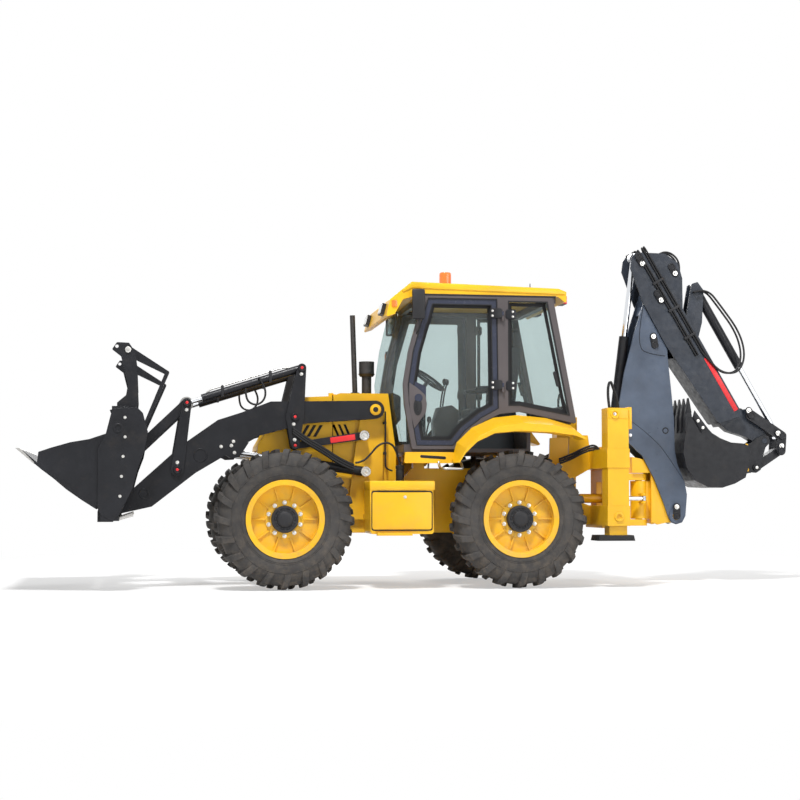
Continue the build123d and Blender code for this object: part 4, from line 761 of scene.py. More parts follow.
def capsule(start, end, radius, count=8):
    """The outline of a plate with two round ends."""
    along = math.atan2(end[1] - start[1], end[0] - start[0])
    points = []
    for centre, first in ((end, along - math.pi / 2), (start, along + math.pi / 2)):
        for index in range(count + 1):
            angle = first + math.pi * index / count
            points.append((centre[0] + radius * math.cos(angle), centre[1] + radius * math.sin(angle)))
    return points


def soft_square(low, high, radius, count=4):
    """The outline of a plate with four round corners."""
    points = []
    corners = ((high[0] - radius, low[1] + radius, -0.5), (high[0] - radius, high[1] - radius, 0.0),
               (low[0] + radius, high[1] - radius, 0.5), (low[0] + radius, low[1] + radius, 1.0))
    for x, z, turn in corners:
        for index in range(count + 1):
            angle = math.pi * (turn + 0.5 * index / count)
            points.append((x + radius * math.cos(angle), z + radius * math.sin(angle)))
    return points


def drawn_in(points, distance):
    """A closed outline moved inwards by a distance."""
    area = sum(a[0] * b[1] - b[0] * a[1] for a, b in zip(points, points[1:] + points[:1]))
    turn = 1.0 if area > 0 else -1.0
    inner = []
    for before, here, after in zip(points[-1:] + points[:-1], points, points[1:] + points[:1]):
        first = Vector((here[0] - before[0], here[1] - before[1])).normalized()
        second = Vector((after[0] - here[0], after[1] - here[1])).normalized()
        left = Vector((-first.y - second.y, first.x + second.x)).normalized() * turn
        lean = max(0.3, left.dot(Vector((-first.y, first.x)) * turn))
        inner.append((here[0] + left.x * distance / lean, here[1] + left.y * distance / lean))
    return inner


def bolt_heads(points, y, radius, height=0.010):
    """Hexagon heads on washers at side view points, standing out to the left."""
    x, z = points[0]
    washer = spun([(0.0, 0.003), (radius * 1.35, 0.003), (radius * 1.45, 0.0)], spot(x, z, y), steps=24)
    head = turned(spot(x, z, y + 0.002), spot(x, z, y + height), radius, radius * 0.12, 6)
    bolt = joined([head, washer])
    return repeated(bolt, [Matrix.Translation((px - x, 0.0, pz - z)) for px, pz in points])


def mount_pair(piece, name, finish, body, right_body=None):
    """Mounts a piece on the left side and its mirror image on the right."""
    right = mirrored(piece)
    mount(piece, f"{name}_left", finish, body)
    mount(right, f"{name}_right", finish, right_body or body)


# Hubs

class BACKHOE_OT_hubs(bpy.types.Operator):
    """Fits a black hub cover and ten plated nuts to each wheel"""
    bl_idname = "backhoe.hubs"
    bl_label = "Hubs"

    def execute(self, context):
        x, y, z = FRONT_WHEEL
        nut_circle = 0.168
        screw_circle = 0.0965
        count = 10
        cover = [(0.1365, 0.068), (0.1375, 0.118), (0.131, 0.1330), (0.112, 0.1330), (0.107, 0.1264), (0.086, 0.1264),
                 (0.081, 0.1330), (0.0755, 0.1330), (0.0750, 0.1445), (0.070, 0.1480), (0.030, 0.1500), (0.0, 0.1500)]
        hub = spun([(radius, y + out) for radius, out in cover], (x, 0.0, z), steps=80)
        rib = pressed_block((x - 0.007, y + 0.122, z + 0.084), (x + 0.007, y + 0.1325, z + 0.134), 0.002)
        screw = turned((x, y + 0.124, z + screw_circle), (x, y + 0.133, z + screw_circle), 0.007, 0.001, 6)
        turns = [self.about_axle(math.tau * index / count) for index in range(count)]
        half_turns = [self.about_axle(math.tau * (index + 0.5) / count) for index in range(count)]
        hub = joined([hub, repeated(rib, turns), repeated(screw, half_turns)])
        washer = spun([(0.012, 0.0), (0.0225, 0.0), (0.0215, 0.004), (0.012, 0.004)], (x, y + 0.0705, z + nut_circle),
                      steps=20)
        head = turned((x, y + 0.072, z + nut_circle), (x, y + 0.0955, z + nut_circle), 0.0175, 0.002, 6)
        stud = turned((x, y + 0.090, z + nut_circle), (x, y + 0.110, z + nut_circle), 0.0085, 0.002, 16)
        nuts = repeated(joined([head, washer, stud]), turns)
        for axle, place in (("front", FRONT_WHEEL), ("rear", REAR_WHEEL)):
            for piece, name, finish, slot in ((hub, "Hub", "black_plastic", "black_frame"),
                                              (nuts, "Wheel_nuts", "zinc", "bare_steel")):
                copy = twin(piece, Matrix.Translation(place - FRONT_WHEEL))
                mount_pair(copy, f"{name}_{axle}", finish, f"wheel_{axle}_left",
                           right_body=f"wheel_{axle}_right")
        bpy.data.objects.remove(hub)
        bpy.data.objects.remove(nuts)
        return {"FINISHED"}

    def about_axle(self, angle):
        return (Matrix.Translation(FRONT_WHEEL) @ Matrix.Rotation(angle, 4, "Y")
                @ Matrix.Translation(-FRONT_WHEEL))


# Pin ends

# Distances to the left of the faces that fittings stand on
ARM_FACE = 0.565
BUCKET_FACE = 1.175
BOOM_FACE = 0.150

# name: pin's side view point, where its end face is, bolt's direction in degrees and distance, body, kind
# kinds: a bolt beside the boss, a keeper plate under boss and bolt, or a wide washer alone
PIN_ENDS = {
    "Front_lever_pin": ((1.063, 1.215), 0.594, 90, 0.074, "front_lever_pins", "bolted"),
    "Lever_top_pin": ((0.970, 1.905), 0.594, -88, 0.074, "lever_top_pins", "bolted"),
    "Bucket_pin": ((1.692, 0.849), 0.594, 60, 0.055, "bucket_pins", "bolted"),
    "Bucket_link_pin": ((1.543, 1.355), 0.596, -70, 0.060, "front_bucket", "bolted"),
    "Rear_lever_pin": ((-0.144, 1.767), 0.596, -80, 0.078, "rear_levers", "bolted"),
    "Rear_lever_top": ((-0.215, 2.279), 0.596, -85, 0.066, "rear_levers", "bolted"),
    "Rear_lever_foot": ((-0.146, 1.469), 0.596, 85, 0.060, "rear_levers", "bolted"),
    "Levelling_pivot": ((-0.872, 1.577), 0.579, -90, 0.0, "machine", "washer"),
    "Lift_base_pin": ((-0.888, 1.201), 0.579, 90, 0.0, "machine", "washer"),
    "Boom_foot_pin": ((-4.403, 0.728), 0.170, 90, 0.100, "kingpost", "plate"),
    "Boom_top_pin": ((-4.200, 3.187), 0.184, -120, 0.085, "dipper", "plate"),
    "Dipper_ram_pin": ((-3.985, 3.594), 0.186, -120, 0.090, "dipper", "plate"),
    "Boom_ram_pin": ((-4.175, 2.617), 0.154, 80, 0.095, "boom", "plate"),
    "Dipper_head_pin": ((-4.366, 3.489), 0.177, -120, 0.085, "dipper", "plate"),
    "Hoe_lever_pin": ((-5.294, 1.847), 0.130, 60, 0.060, "inner_dipper", "plate"),
    "Hoe_ram_pin": ((-5.655, 1.619), 0.132, 30, 0.060, "hoe_levers", "plate"),
    "Hoe_lever_link": ((-5.644, 1.451), 0.132, 90, 0.055, "hoe_levers", "plate"),
    "Hoe_link_pin": ((-5.356, 1.264), 0.104, 90, 0.0, "hoe_bucket", "plate"),
}


class BACKHOE_OT_pins(bpy.types.Operator):
    """Closes each pin with a turned boss, its keeper plate and a plated bolt"""
    bl_idname = "backhoe.pins"
    bl_label = "Pin ends"

    def execute(self, context):
        bolt = context.scene.backhoe_fittings.bolt
        for name, ((x, z), y, degrees, reach, body, kind) in PIN_ENDS.items():
            angle = math.radians(degrees)
            far = (x + reach * math.cos(angle), z + reach * math.sin(angle))
            boss = spun([(0.041, 0.0), (0.041, 0.010), (0.038, 0.014), (0.028, 0.014), (0.024, 0.010), (0.010, 0.010),
                         (0.0, 0.0115)], spot(x, z, y), steps=36)
            if kind == "washer":
                boss.data.transform(self.larger(1.3, spot(x, z, y)))
                mount_pair(boss, name, "zinc", body)
            else:
                bolt_y = y - 0.004
                bolt_size = bolt * 0.8
                bolt_height = 0.012
                if kind == "plate":
                    boss = joined([cut_plate(capsule((x, z), far, 0.040), y - 0.001, y + 0.008), boss])
                    bolt_y = y + 0.007
                    bolt_size = bolt * 1.15
                    bolt_height = 0.014
                mount_pair(boss, name, "charcoal", body)
                mount_pair(bolt_heads([far], bolt_y, bolt_size, bolt_height), f"{name}_bolt", "zinc", body)
            if kind != "plate":
                nipple = spun([(0.015, 0.009), (0.015, 0.0125), (0.010, 0.0145), (0.0, 0.015)], spot(x, z, y), steps=20)
                mount_pair(nipple, f"{name}_plug", "red" if kind == "bolted" else "steel", body)
        self.pivots()
        self.arm_fittings()
        return {"FINISHED"}

    def pivots(self):
        x, z = -0.992, 1.850
        star = []
        for index in range(16):
            radius = 0.052 if index % 2 == 0 else 0.040
            angle = math.tau * index / 16
            star.append((x + radius * math.cos(angle), z + radius * math.sin(angle)))
        mount_pair(cut_plate(star, 0.578, 0.588), "Arm_pivot_cap", "yellow", "machine")
        mount_pair(bolt_heads([(x, z)], 0.587, 0.020, 0.012), "Arm_pivot_bolt", "hose", "machine")
        ring = spun([(0.028, 0.0), (0.028, 0.006), (0.046, 0.006), (0.050, 0.003), (0.050, 0.0)],
                    spot(1.659, 1.614, BUCKET_FACE), steps=40)
        mount_pair(ring, "Clam_pivot_ring", "charcoal", "front_bucket")
        cap = spun([(0.030, 0.0), (0.030, 0.005), (0.022, 0.008), (0.0, 0.009)], spot(1.568, 2.397, 1.118), steps=28)
        mount_pair(cap, "Fork_shaft_cap", "zinc", "front_bucket")

    def arm_fittings(self):
        tube_ring = spun([(0.058, 0.0), (0.060, 0.004), (0.070, 0.004), (0.074, 0.0)],
                         spot(0.829, 1.365, ARM_FACE), steps=44)
        stop = spun([(0.040, 0.0), (0.042, 0.004), (0.050, 0.004), (0.054, 0.0)],
                    spot(1.401, 0.971, ARM_FACE), steps=40)
        mount_pair(joined([tube_ring, stop]), "Arm_rings", "charcoal", "loader_arms")
        bolts = [(0.616, 1.455), (0.511, 1.466), (0.490, 1.509), (0.479, 1.393)]
        mount_pair(bolt_heads(bolts, ARM_FACE, 0.013, 0.010), "Arm_bolts", "zinc", "loader_arms")

    def larger(self, factor, centre):
        return Matrix.Translation(centre) @ Matrix.Scale(factor, 4) @ Matrix.Translation(-centre)


# Pipes and hoses

HOE_PIVOT = (-5.459, 1.562)
SLIDE_ANGLE = math.radians(239.5)


def dipper_spot(distance, side, y):
    """A point by its distance up the sliding line from the hoe's pivot and its offset from it."""
    x = HOE_PIVOT[0] - distance * math.cos(SLIDE_ANGLE) + side * math.sin(SLIDE_ANGLE)
    z = HOE_PIVOT[1] - distance * math.sin(SLIDE_ANGLE) - side * math.cos(SLIDE_ANGLE)
    return spot(x, z, y)


def side_route(points, y):
    """Guide points given in side view at one distance to the left."""
    return [spot(x, z, y) for x, z in points]


class BACKHOE_OT_hoses(bpy.types.Operator):
    """Runs the steel pipes and rubber hoses of the loader and of the digging arm"""
    bl_idname = "backhoe.hoses"
    bl_label = "Pipes and hoses"

    def execute(self, context):
        sizes = context.scene.backhoe_fittings
        self.loader_hoses(sizes)
        self.dipper_pipes(sizes)
        self.rear_hoses(sizes)
        return {"FINISHED"}

    def loader_hoses(self, sizes):
        bundle = []
        for index in range(3):
            lift = 0.026 * index
            bundle.append(bent_pipe([spot(-0.760, 1.215 + lift, 0.595), spot(-0.620, 1.270 + lift, 0.598),
                                     spot(-0.430, 1.400 + lift, 0.600), spot(-0.250, 1.500 + lift, 0.600),
                                     spot(-0.120, 1.600 + lift, 0.592)], sizes.hose * 1.35))
        hoses = joined(bundle)
        right = mirrored(hoses)
        for piece, side, y in ((hoses, "left", 0.6), (right, "right", -0.6)):
            dress(piece, f"Loader_hoses_{side}", "hose")
            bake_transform(piece)
        filter_hose = bent_pipe(side_route([(-0.770, 1.290), (-0.850, 1.300), (-0.930, 1.380), (-1.010, 1.480),
                                            (-1.120, 1.510), (-1.200, 1.440), (-1.236, 1.290)], 0.640), sizes.hose)
        can = spun([(0.0, 1.096), (0.040, 1.096), (0.043, 1.104), (0.043, 1.215), (0.038, 1.226), (0.046, 1.228),
                    (0.046, 1.258), (0.036, 1.266), (0.017, 1.268), (0.017, 1.300), (0.0, 1.300)],
                   (spot(-1.236, 0.0).x, 0.660, 0.0), "Z", 40)
        mount(joined([filter_hose, can]), "Filter", "hose", "machine")
        tower_pipe = bent_pipe([spot(-1.105, 1.835, 0.500), spot(-1.108, 1.70, 0.500), spot(-1.104, 1.30, 0.500),
                                spot(-1.115, 1.225, 0.505), spot(-1.180, 1.210, 0.520)], sizes.pipe)
        clamps = [pressed_block(spot(-1.118, z, 0.440), spot(-1.086, z + 0.030, 0.514), 0.004) for z in (1.38, 1.70)]
        mount_pair(joined([tower_pipe] + clamps), "Tower_pipe", "hose", "machine")
        along = Vector((1.185, -0.374)).normalized()
        up = Vector((-along.y, along.x))

        def beside(distance, height):
            point = Vector((-0.215, 2.279)) + along * distance + up * height
            return (point.x, point.y)

        ram_pipe = bent_pipe(side_route([beside(0.12, 0.040), beside(0.16, 0.062), beside(0.30, 0.062),
                                         beside(0.90, 0.062), beside(0.98, 0.062), beside(1.02, 0.040)], 0.510),
                             sizes.pipe)
        bands = [pressed_block(spot(beside(at, 0)[0] - 0.014, beside(at, 0)[1] - 0.048, 0.462),
                               spot(beside(at, 0)[0] + 0.014, beside(at, 0)[1] + 0.072, 0.558), 0.006)
                 for at in (0.34, 0.86)]
        mount_pair(ram_pipe, "Tilt_pipe", "steel", "tilt_barrels")
        mount_pair(joined(bands), "Tilt_pipe_clamps", "black_plastic", "tilt_barrels")
        loop = bent_pipe(side_route([beside(0.46, 0.040), beside(0.42, -0.080), beside(0.46, -0.200),
                                     beside(0.56, -0.240), beside(0.64, -0.180), beside(0.64, -0.090),
                                     beside(0.62, -0.030)], 0.562), sizes.hose)
        mount_pair(loop, "Tilt_hose", "hose", "tilt_barrels")

    def dipper_pipes(self, sizes):
        pipes = []
        for side in (-0.126, -0.152, -0.206, -0.232):
            pipes.append(bent_pipe([dipper_spot(2.470, side, 0.130), dipper_spot(2.560, side, 0.150),
                                    dipper_spot(2.560, side, 0.192), dipper_spot(2.440, side, 0.192),
                                    dipper_spot(1.300, side, 0.192), dipper_spot(1.220, side, 0.192)],
                                   sizes.pipe))
        mount_pair(joined(pipes), "Dipper_pipes", "hose", "dipper")
        slope = Matrix.Rotation(math.radians(30.5), 4, "Y")
        clamps = []
        for distance in (1.45, 1.80, 2.15):
            clamp = pressed_block((-0.075, -0.002, -0.014), (0.075, 0.025, 0.014), 0.003)
            clamp.data.transform(Matrix.Translation(dipper_spot(distance, -0.179, 0.178)) @ slope)
            clamps.append(clamp)
        mount_pair(joined(clamps), "Dipper_clamps", "black_plastic", "dipper")
        loops = []
        for index in range(2):
            y = 0.100 + 0.030 * index
            out = 0.030 * index
            loops.append(bent_pipe([spot(-4.640, 3.215, y), spot(-4.760 - out, 3.270, y), spot(-4.930 - out, 3.060, y),
                                    spot(-5.130 - out, 2.780, y + 0.02), spot(-5.190 - out, 2.520, y + 0.04),
                                    spot(-5.110 - out, 2.330, 0.200), spot(-4.960 - out, 2.300, 0.205),
                                    spot(-4.850, 2.370, 0.200), dipper_spot(1.230, -0.126 - 0.026 * index, 0.192)],
                                   sizes.hose))
        hoses = dress(joined(loops), "Ram_hoses", "hose")
        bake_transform(hoses)
        top = [bent_pipe([spot(-4.180, 3.560, y), spot(-4.260, 3.660, y), spot(-4.400, 3.680, y),
                          spot(-4.520, 3.560, y), spot(-4.500, 3.430, y)], sizes.hose) for y in (0.040, -0.040)]
        mount(joined(top), "Dipper_head_hoses", "hose", "dipper")

    def rear_hoses(self, sizes):
        bundle = [bent_pipe([spot(-2.960, 1.290 + 0.024 * index, 0.600), spot(-3.080, 1.330 + 0.024 * index, 0.600),
                             spot(-3.250, 1.420 + 0.024 * index, 0.600), spot(-3.380, 1.450 + 0.024 * index, 0.600),
                             spot(-3.420, 1.400, 0.600)], sizes.hose) for index in range(3)]
        leg_route = [(-3.395, 1.855), (-3.370, 2.020), (-3.400, 2.170), (-3.440, 2.060), (-3.480, 1.950),
                     (-3.490, 1.855)]
        leg_hoses = [bent_pipe(side_route(leg_route, y), sizes.hose * 0.7) for y in (1.000, 1.045)]
        mount_pair(joined(bundle + leg_hoses), "Leg_hoses", "hose", "machine")


# Cab fittings

DOOR = [(-1.505, 3.000), (-2.231, 3.000), (-2.244, 1.860), (-2.070, 1.765), (-1.890, 1.625), (-1.765, 1.470),
        (-1.382, 1.470), (-1.305, 1.900), (-1.292, 2.100), (-1.345, 2.450)]
QUARTER = [(-2.355, 2.985), (-2.775, 2.985), (-3.010, 1.790), (-2.480, 1.890), (-2.355, 1.890)]


def glass_border(outline, first, second, low_y, high_y):
    """The dark band printed round a pane."""
    return cut_plate(drawn_in(outline, first), low_y, high_y, 0.0, drawn_in(outline, second))


class BACKHOE_OT_cab(bpy.types.Operator):
    """Adds seals, glass borders, door furniture, mirrors, the steps and the box lid, and painted shade in the roof gap,
    the skirt slot and the gaps round the box lid's door
    """
    bl_idname = "backhoe.cab"
    bl_label = "Cab fittings"

    def execute(self, context):
        self.glazing()
        self.door_furniture()
        self.steps_and_box()
        self.driver_place()
        self.roof_and_mirrors()
        return {"FINISHED"}

    def roof_and_mirrors(self):
        """The roof's side bands, a black strip of painted shade in the gap under the roof, the mirrors' shells and the
        side lamp on its stalk.
        """
        band = cut_plate([(-1.345, 3.166), (-2.900, 3.124), (-2.968, 3.092), (-2.968, 3.066), (-1.330, 3.104),
                          (-1.240, 3.060), (-1.225, 3.085)], 0.848, 0.860, 0.005)
        mount_pair(band, "Roof_band", "yellow", "machine")
        # A black strip painted as the shade in the gap between the roof and the cab frame.
        strip = cut_plate([(-1.440, 3.047), (-2.868, 3.047), (-2.868, 3.030), (-1.440, 3.030)], 0.858, 0.863, 0.001)
        mount_pair(strip, "Roof_gap_painted_shade", "seal_and_painted_shade", "machine")
        shell = pressed_block(spot(-1.457, 2.773, 0.898), spot(-1.323, 3.087, 0.942), 0.016)
        arm = bent_pipe([spot(-1.400, 2.790, 0.920), spot(-1.405, 2.700, 0.918), spot(-1.385, 2.640, 0.880),
                         spot(-1.380, 2.630, 0.855)], 0.008)
        mount_pair(joined([shell, arm]), "Mirror_shell", "black_plastic", "machine")
        case = pressed_block(spot(-1.400, 2.470, -0.960), spot(-1.320, 2.600, -0.890), 0.012)
        stalk = bent_pipe([spot(-1.350, 2.520, -0.895), spot(-1.355, 2.515, -0.870), spot(-1.360, 2.500, -0.850)],
                          0.009)
        mount(joined([case, stalk]), "Side_lamp_case", "black_plastic", "machine")
        lens = pressed_block(spot(-1.330, 2.482, -0.952), spot(-1.312, 2.572, -0.898), 0.006)
        mount(lens, "Side_lamp_lens", "amber", "machine")

    def driver_place(self):
        console = [(-2.060, 1.442), (-1.800, 1.442), (-1.780, 1.760), (-1.830, 1.930), (-1.980, 1.960), (-2.060, 1.900)]
        mount(cut_plate(console, -0.560, -0.330, 0.020), "Side_console", "black_plastic", "machine")
        levers = []
        for x, y in ((-1.860, -0.400), (-1.900, -0.480), (-1.560, 0.300)):
            foot = 1.90 if y < 0 else 1.44
            levers.append(bent_pipe([spot(x, foot, y), spot(x - 0.01, foot + 0.16, y), spot(x - 0.05, foot + 0.30, y)],
                                    0.009))
            levers.append(spun([(0.0, foot + 0.285), (0.018, foot + 0.290), (0.026, foot + 0.320),
                                (0.020, foot + 0.350), (0.0, foot + 0.360)], (spot(x - 0.05, 0.0).x, y, 0.0), "Z", 20))
        mount(joined(levers), "Levers", "hose", "machine")
        arm = cut_plate(capsule((-2.430, 2.120), (-2.140, 2.100), 0.026), 0.262, 0.330, 0.012)
        post = cut_plate([(-2.400, 1.860), (-2.350, 1.860), (-2.360, 2.110), (-2.410, 2.110)], 0.262, 0.292, 0.006)
        mount_pair(joined([arm, post]), "Arm_rest", "black_plastic", "machine")
        head = cut_plate(soft_square((-2.660, 2.540), (-2.560, 2.760), 0.045), -0.150, 0.150, 0.025)
        mount(head, "Head_rest", "cloth", "machine")

    def glazing(self):
        mount_pair(glass_border(DOOR, 0.056, 0.094, 0.8082, 0.8100), "Door_glass_border", "seal_and_painted_shade", "door_left",
                   right_body="door_right")
        mount_pair(glass_border(DOOR, 0.054, 0.064, 0.850, 0.8555), "Door_seal", "seal_and_painted_shade", "door_left",
                   right_body="door_right")
        mount_pair(glass_border(DOOR, -0.004, 0.004, 0.850, 0.8615), "Door_edge_seal", "seal_and_painted_shade", "machine")
        mount_pair(glass_border(QUARTER, 0.012, 0.048, 0.7998, 0.8020), "Quarter_glass_border", "seal_and_painted_shade", "machine")
        mount_pair(glass_border(QUARTER, -0.004, 0.010, 0.856, 0.8635), "Quarter_seal", "seal_and_painted_shade", "machine")
        latch = cut_plate(capsule((-2.860, 2.240), (-2.895, 2.110), 0.016), 0.800, 0.826, 0.004)
        mount_pair(latch, "Quarter_latch", "black_plastic", "machine")

    def door_furniture(self):
        oval = [(-1.392 + 0.046 * math.cos(math.tau * step / 28), 1.868 + 0.092 * math.sin(math.tau * step / 28))
                for step in range(28)]
        bulge = cut_plate([(-1.302, 2.120), (-1.392, 2.060), (-1.470, 1.990), (-1.488, 1.900), (-1.478, 1.810),
                           (-1.420, 1.730), (-1.352, 1.640), (-1.312, 1.800), (-1.296, 1.960)], 0.850, 0.862, 0.005)
        mount_pair(bulge, "Handle_panel", "cab_grey", "door_left", right_body="door_right")
        dish = cut_plate(oval, 0.861, 0.865, 0.001)
        grip = cut_plate(capsule((-1.392, 1.915), (-1.392, 1.835), 0.013), 0.864, 0.876, 0.004)
        mount_pair(joined([dish, grip]), "Door_handle", "black_plastic", "door_left", right_body="door_right")
        door_plates = []
        pillar_plates = []
        door_bolts = []
        pillar_bolts = []
        for z in (2.101, 2.851):
            door_plates.append(cut_plate(soft_square((-2.282, z - 0.052), (-2.150, z + 0.052), 0.022), 0.884, 0.892))
            pillar_plates.append(cut_plate(soft_square((-2.436, z - 0.056), (-2.326, z + 0.046), 0.022), 0.859, 0.869))
            door_bolts.extend([(-2.178, z - 0.026), (-2.178, z + 0.026)])
            pillar_bolts.extend([(-2.400, z - 0.030), (-2.400, z + 0.022)])
        mount_pair(joined(door_plates), "Door_hinge_plates", "charcoal", "door_left", right_body="door_right")
        mount_pair(joined(pillar_plates), "Pillar_hinge_plates", "charcoal", "machine")
        mount_pair(bolt_heads(door_bolts, 0.891, 0.009), "Door_hinge_bolts", "zinc", "door_left",
                   right_body="door_right")
        mount_pair(bolt_heads(pillar_bolts, 0.868, 0.009), "Pillar_hinge_bolts", "zinc", "machine")

    def steps_and_box(self):
        # A black plate painted as the shade inside the skirt's slot.
        slot = cut_plate(capsule((-1.430, 1.354), (-1.672, 1.340), 0.015), 0.864, 0.8675, 0.001)
        mount_pair(slot, "Skirt_slot_painted_shade", "seal_and_painted_shade", "machine")
        step_bar = bent_pipe([spot(-1.610, 1.300, 0.862), spot(-1.610, 1.235, 0.900), spot(-1.612, 1.228, 1.060),
                              spot(-1.640, 1.226, 1.095), spot(-1.800, 1.224, 1.095), spot(-1.826, 1.226, 1.060),
                              spot(-1.826, 1.290, 0.960), spot(-1.810, 1.330, 0.900)], 0.014, sides=4)
        mount_pair(step_bar, "Step_bar", "steel", "machine")
        lid = pressed_block(spot(-1.532, 1.002, 0.636), spot(-0.858, 1.100, 1.090), 0.014)
        door = cut_plate(soft_square((-1.496, 0.606), (-0.886, 0.984), 0.022), 1.079, 1.087, 0.003)
        mount_pair(joined([lid, door]), "Box_lid", "yellow", "machine")
        # Black plates and strips painted as the shade in the gaps round the box lid's door.
        gap_shades = [cut_plate(soft_square((-1.508, 0.594), (-0.876, 0.998), 0.024), 1.079, 1.0815, 0.001),
                pressed_block(spot(-1.440, 0.986, 1.080), spot(-0.940, 0.999, 1.0905), 0.003),
                pressed_block(spot(-1.470, 0.592, 1.080), spot(-0.910, 0.603, 1.0885), 0.003)]
        mount_pair(joined(gap_shades), "Box_gap_painted_shade", "seal_and_painted_shade", "machine")
        mount_pair(bolt_heads([(-1.222, 0.935)], 1.086, 0.012), "Box_screw", "zinc", "machine")


# Lamps

class BACKHOE_OT_lenses(bpy.types.Operator):
    """Glazes the work lamps, the rear lamps, the side lamps, the beacon and the mirrors"""
    bl_idname = "backhoe.lenses"
    bl_label = "Lamp lenses"

    def execute(self, context):
        slope = Vector((-0.045, 0.184)).normalized()
        ahead = Vector((slope.y, -slope.x))

        def on_visor(up, out):
            point = Vector((-1.060, 2.801)) + slope * up + ahead * out
            return (point.x, point.y)

        lens = cut_plate([on_visor(0.053, 0.041), on_visor(0.152, 0.041), on_visor(0.148, 0.050),
                          on_visor(0.057, 0.050)], 0.478, 0.642, 0.002)
        mount_pair(lens, "Work_lens", "clear_lens", "machine")
        side = cut_plate(soft_square((-1.175, 2.905), (-1.120, 2.975), 0.012), 0.849, 0.862, 0.003)
        mount_pair(side, "Side_lamp", "amber", "machine")
        for name, finish, low, high in (("Turn_lens", "amber", 3.038, 3.076), ("Stop_lens", "red_lens", 2.994, 3.034)):
            rear = pressed_block(spot(-3.047, low, 0.476), spot(-3.036, high, 0.644), 0.003)
            outer = pressed_block(spot(-3.040, low, 0.646), spot(-2.996, high, 0.655), 0.003)
            mount_pair(joined([rear, outer]), name, finish, "machine")
        foot = (spot(-1.750, 0.0).x, 0.500, 0.0)
        dome = spun([(0.064, 3.190), (0.064, 3.296), (0.0625, 3.311), (0.056, 3.319), (0.030, 3.323), (0.0, 3.324)],
                    foot, "Z", 40)
        mount(dome, "Beacon_dome", "amber", "machine")
        base = spun([(0.0, 3.156), (0.074, 3.156), (0.076, 3.166), (0.072, 3.188), (0.062, 3.193)], foot, "Z", 40)
        mount(base, "Beacon_base", "black_plastic", "machine")
        aerial_x = spot(-2.725, 0.0).x
        aerial = spun([(0.0, 3.125), (0.022, 3.125), (0.020, 3.142), (0.007, 3.158), (0.0045, 3.250), (0.0, 3.252)],
                      (aerial_x, 0.300, 0.0), "Z", 20)
        mount(aerial, "Aerial", "black_plastic", "machine")
        silver = pressed_block(spot(-1.436, 2.796, 0.8955), spot(-1.344, 3.064, 0.9005), 0.002)
        mount_pair(silver, "Mirror_glass", "chrome", "machine")
        return {"FINISHED"}


# Stripes, edges and small plates

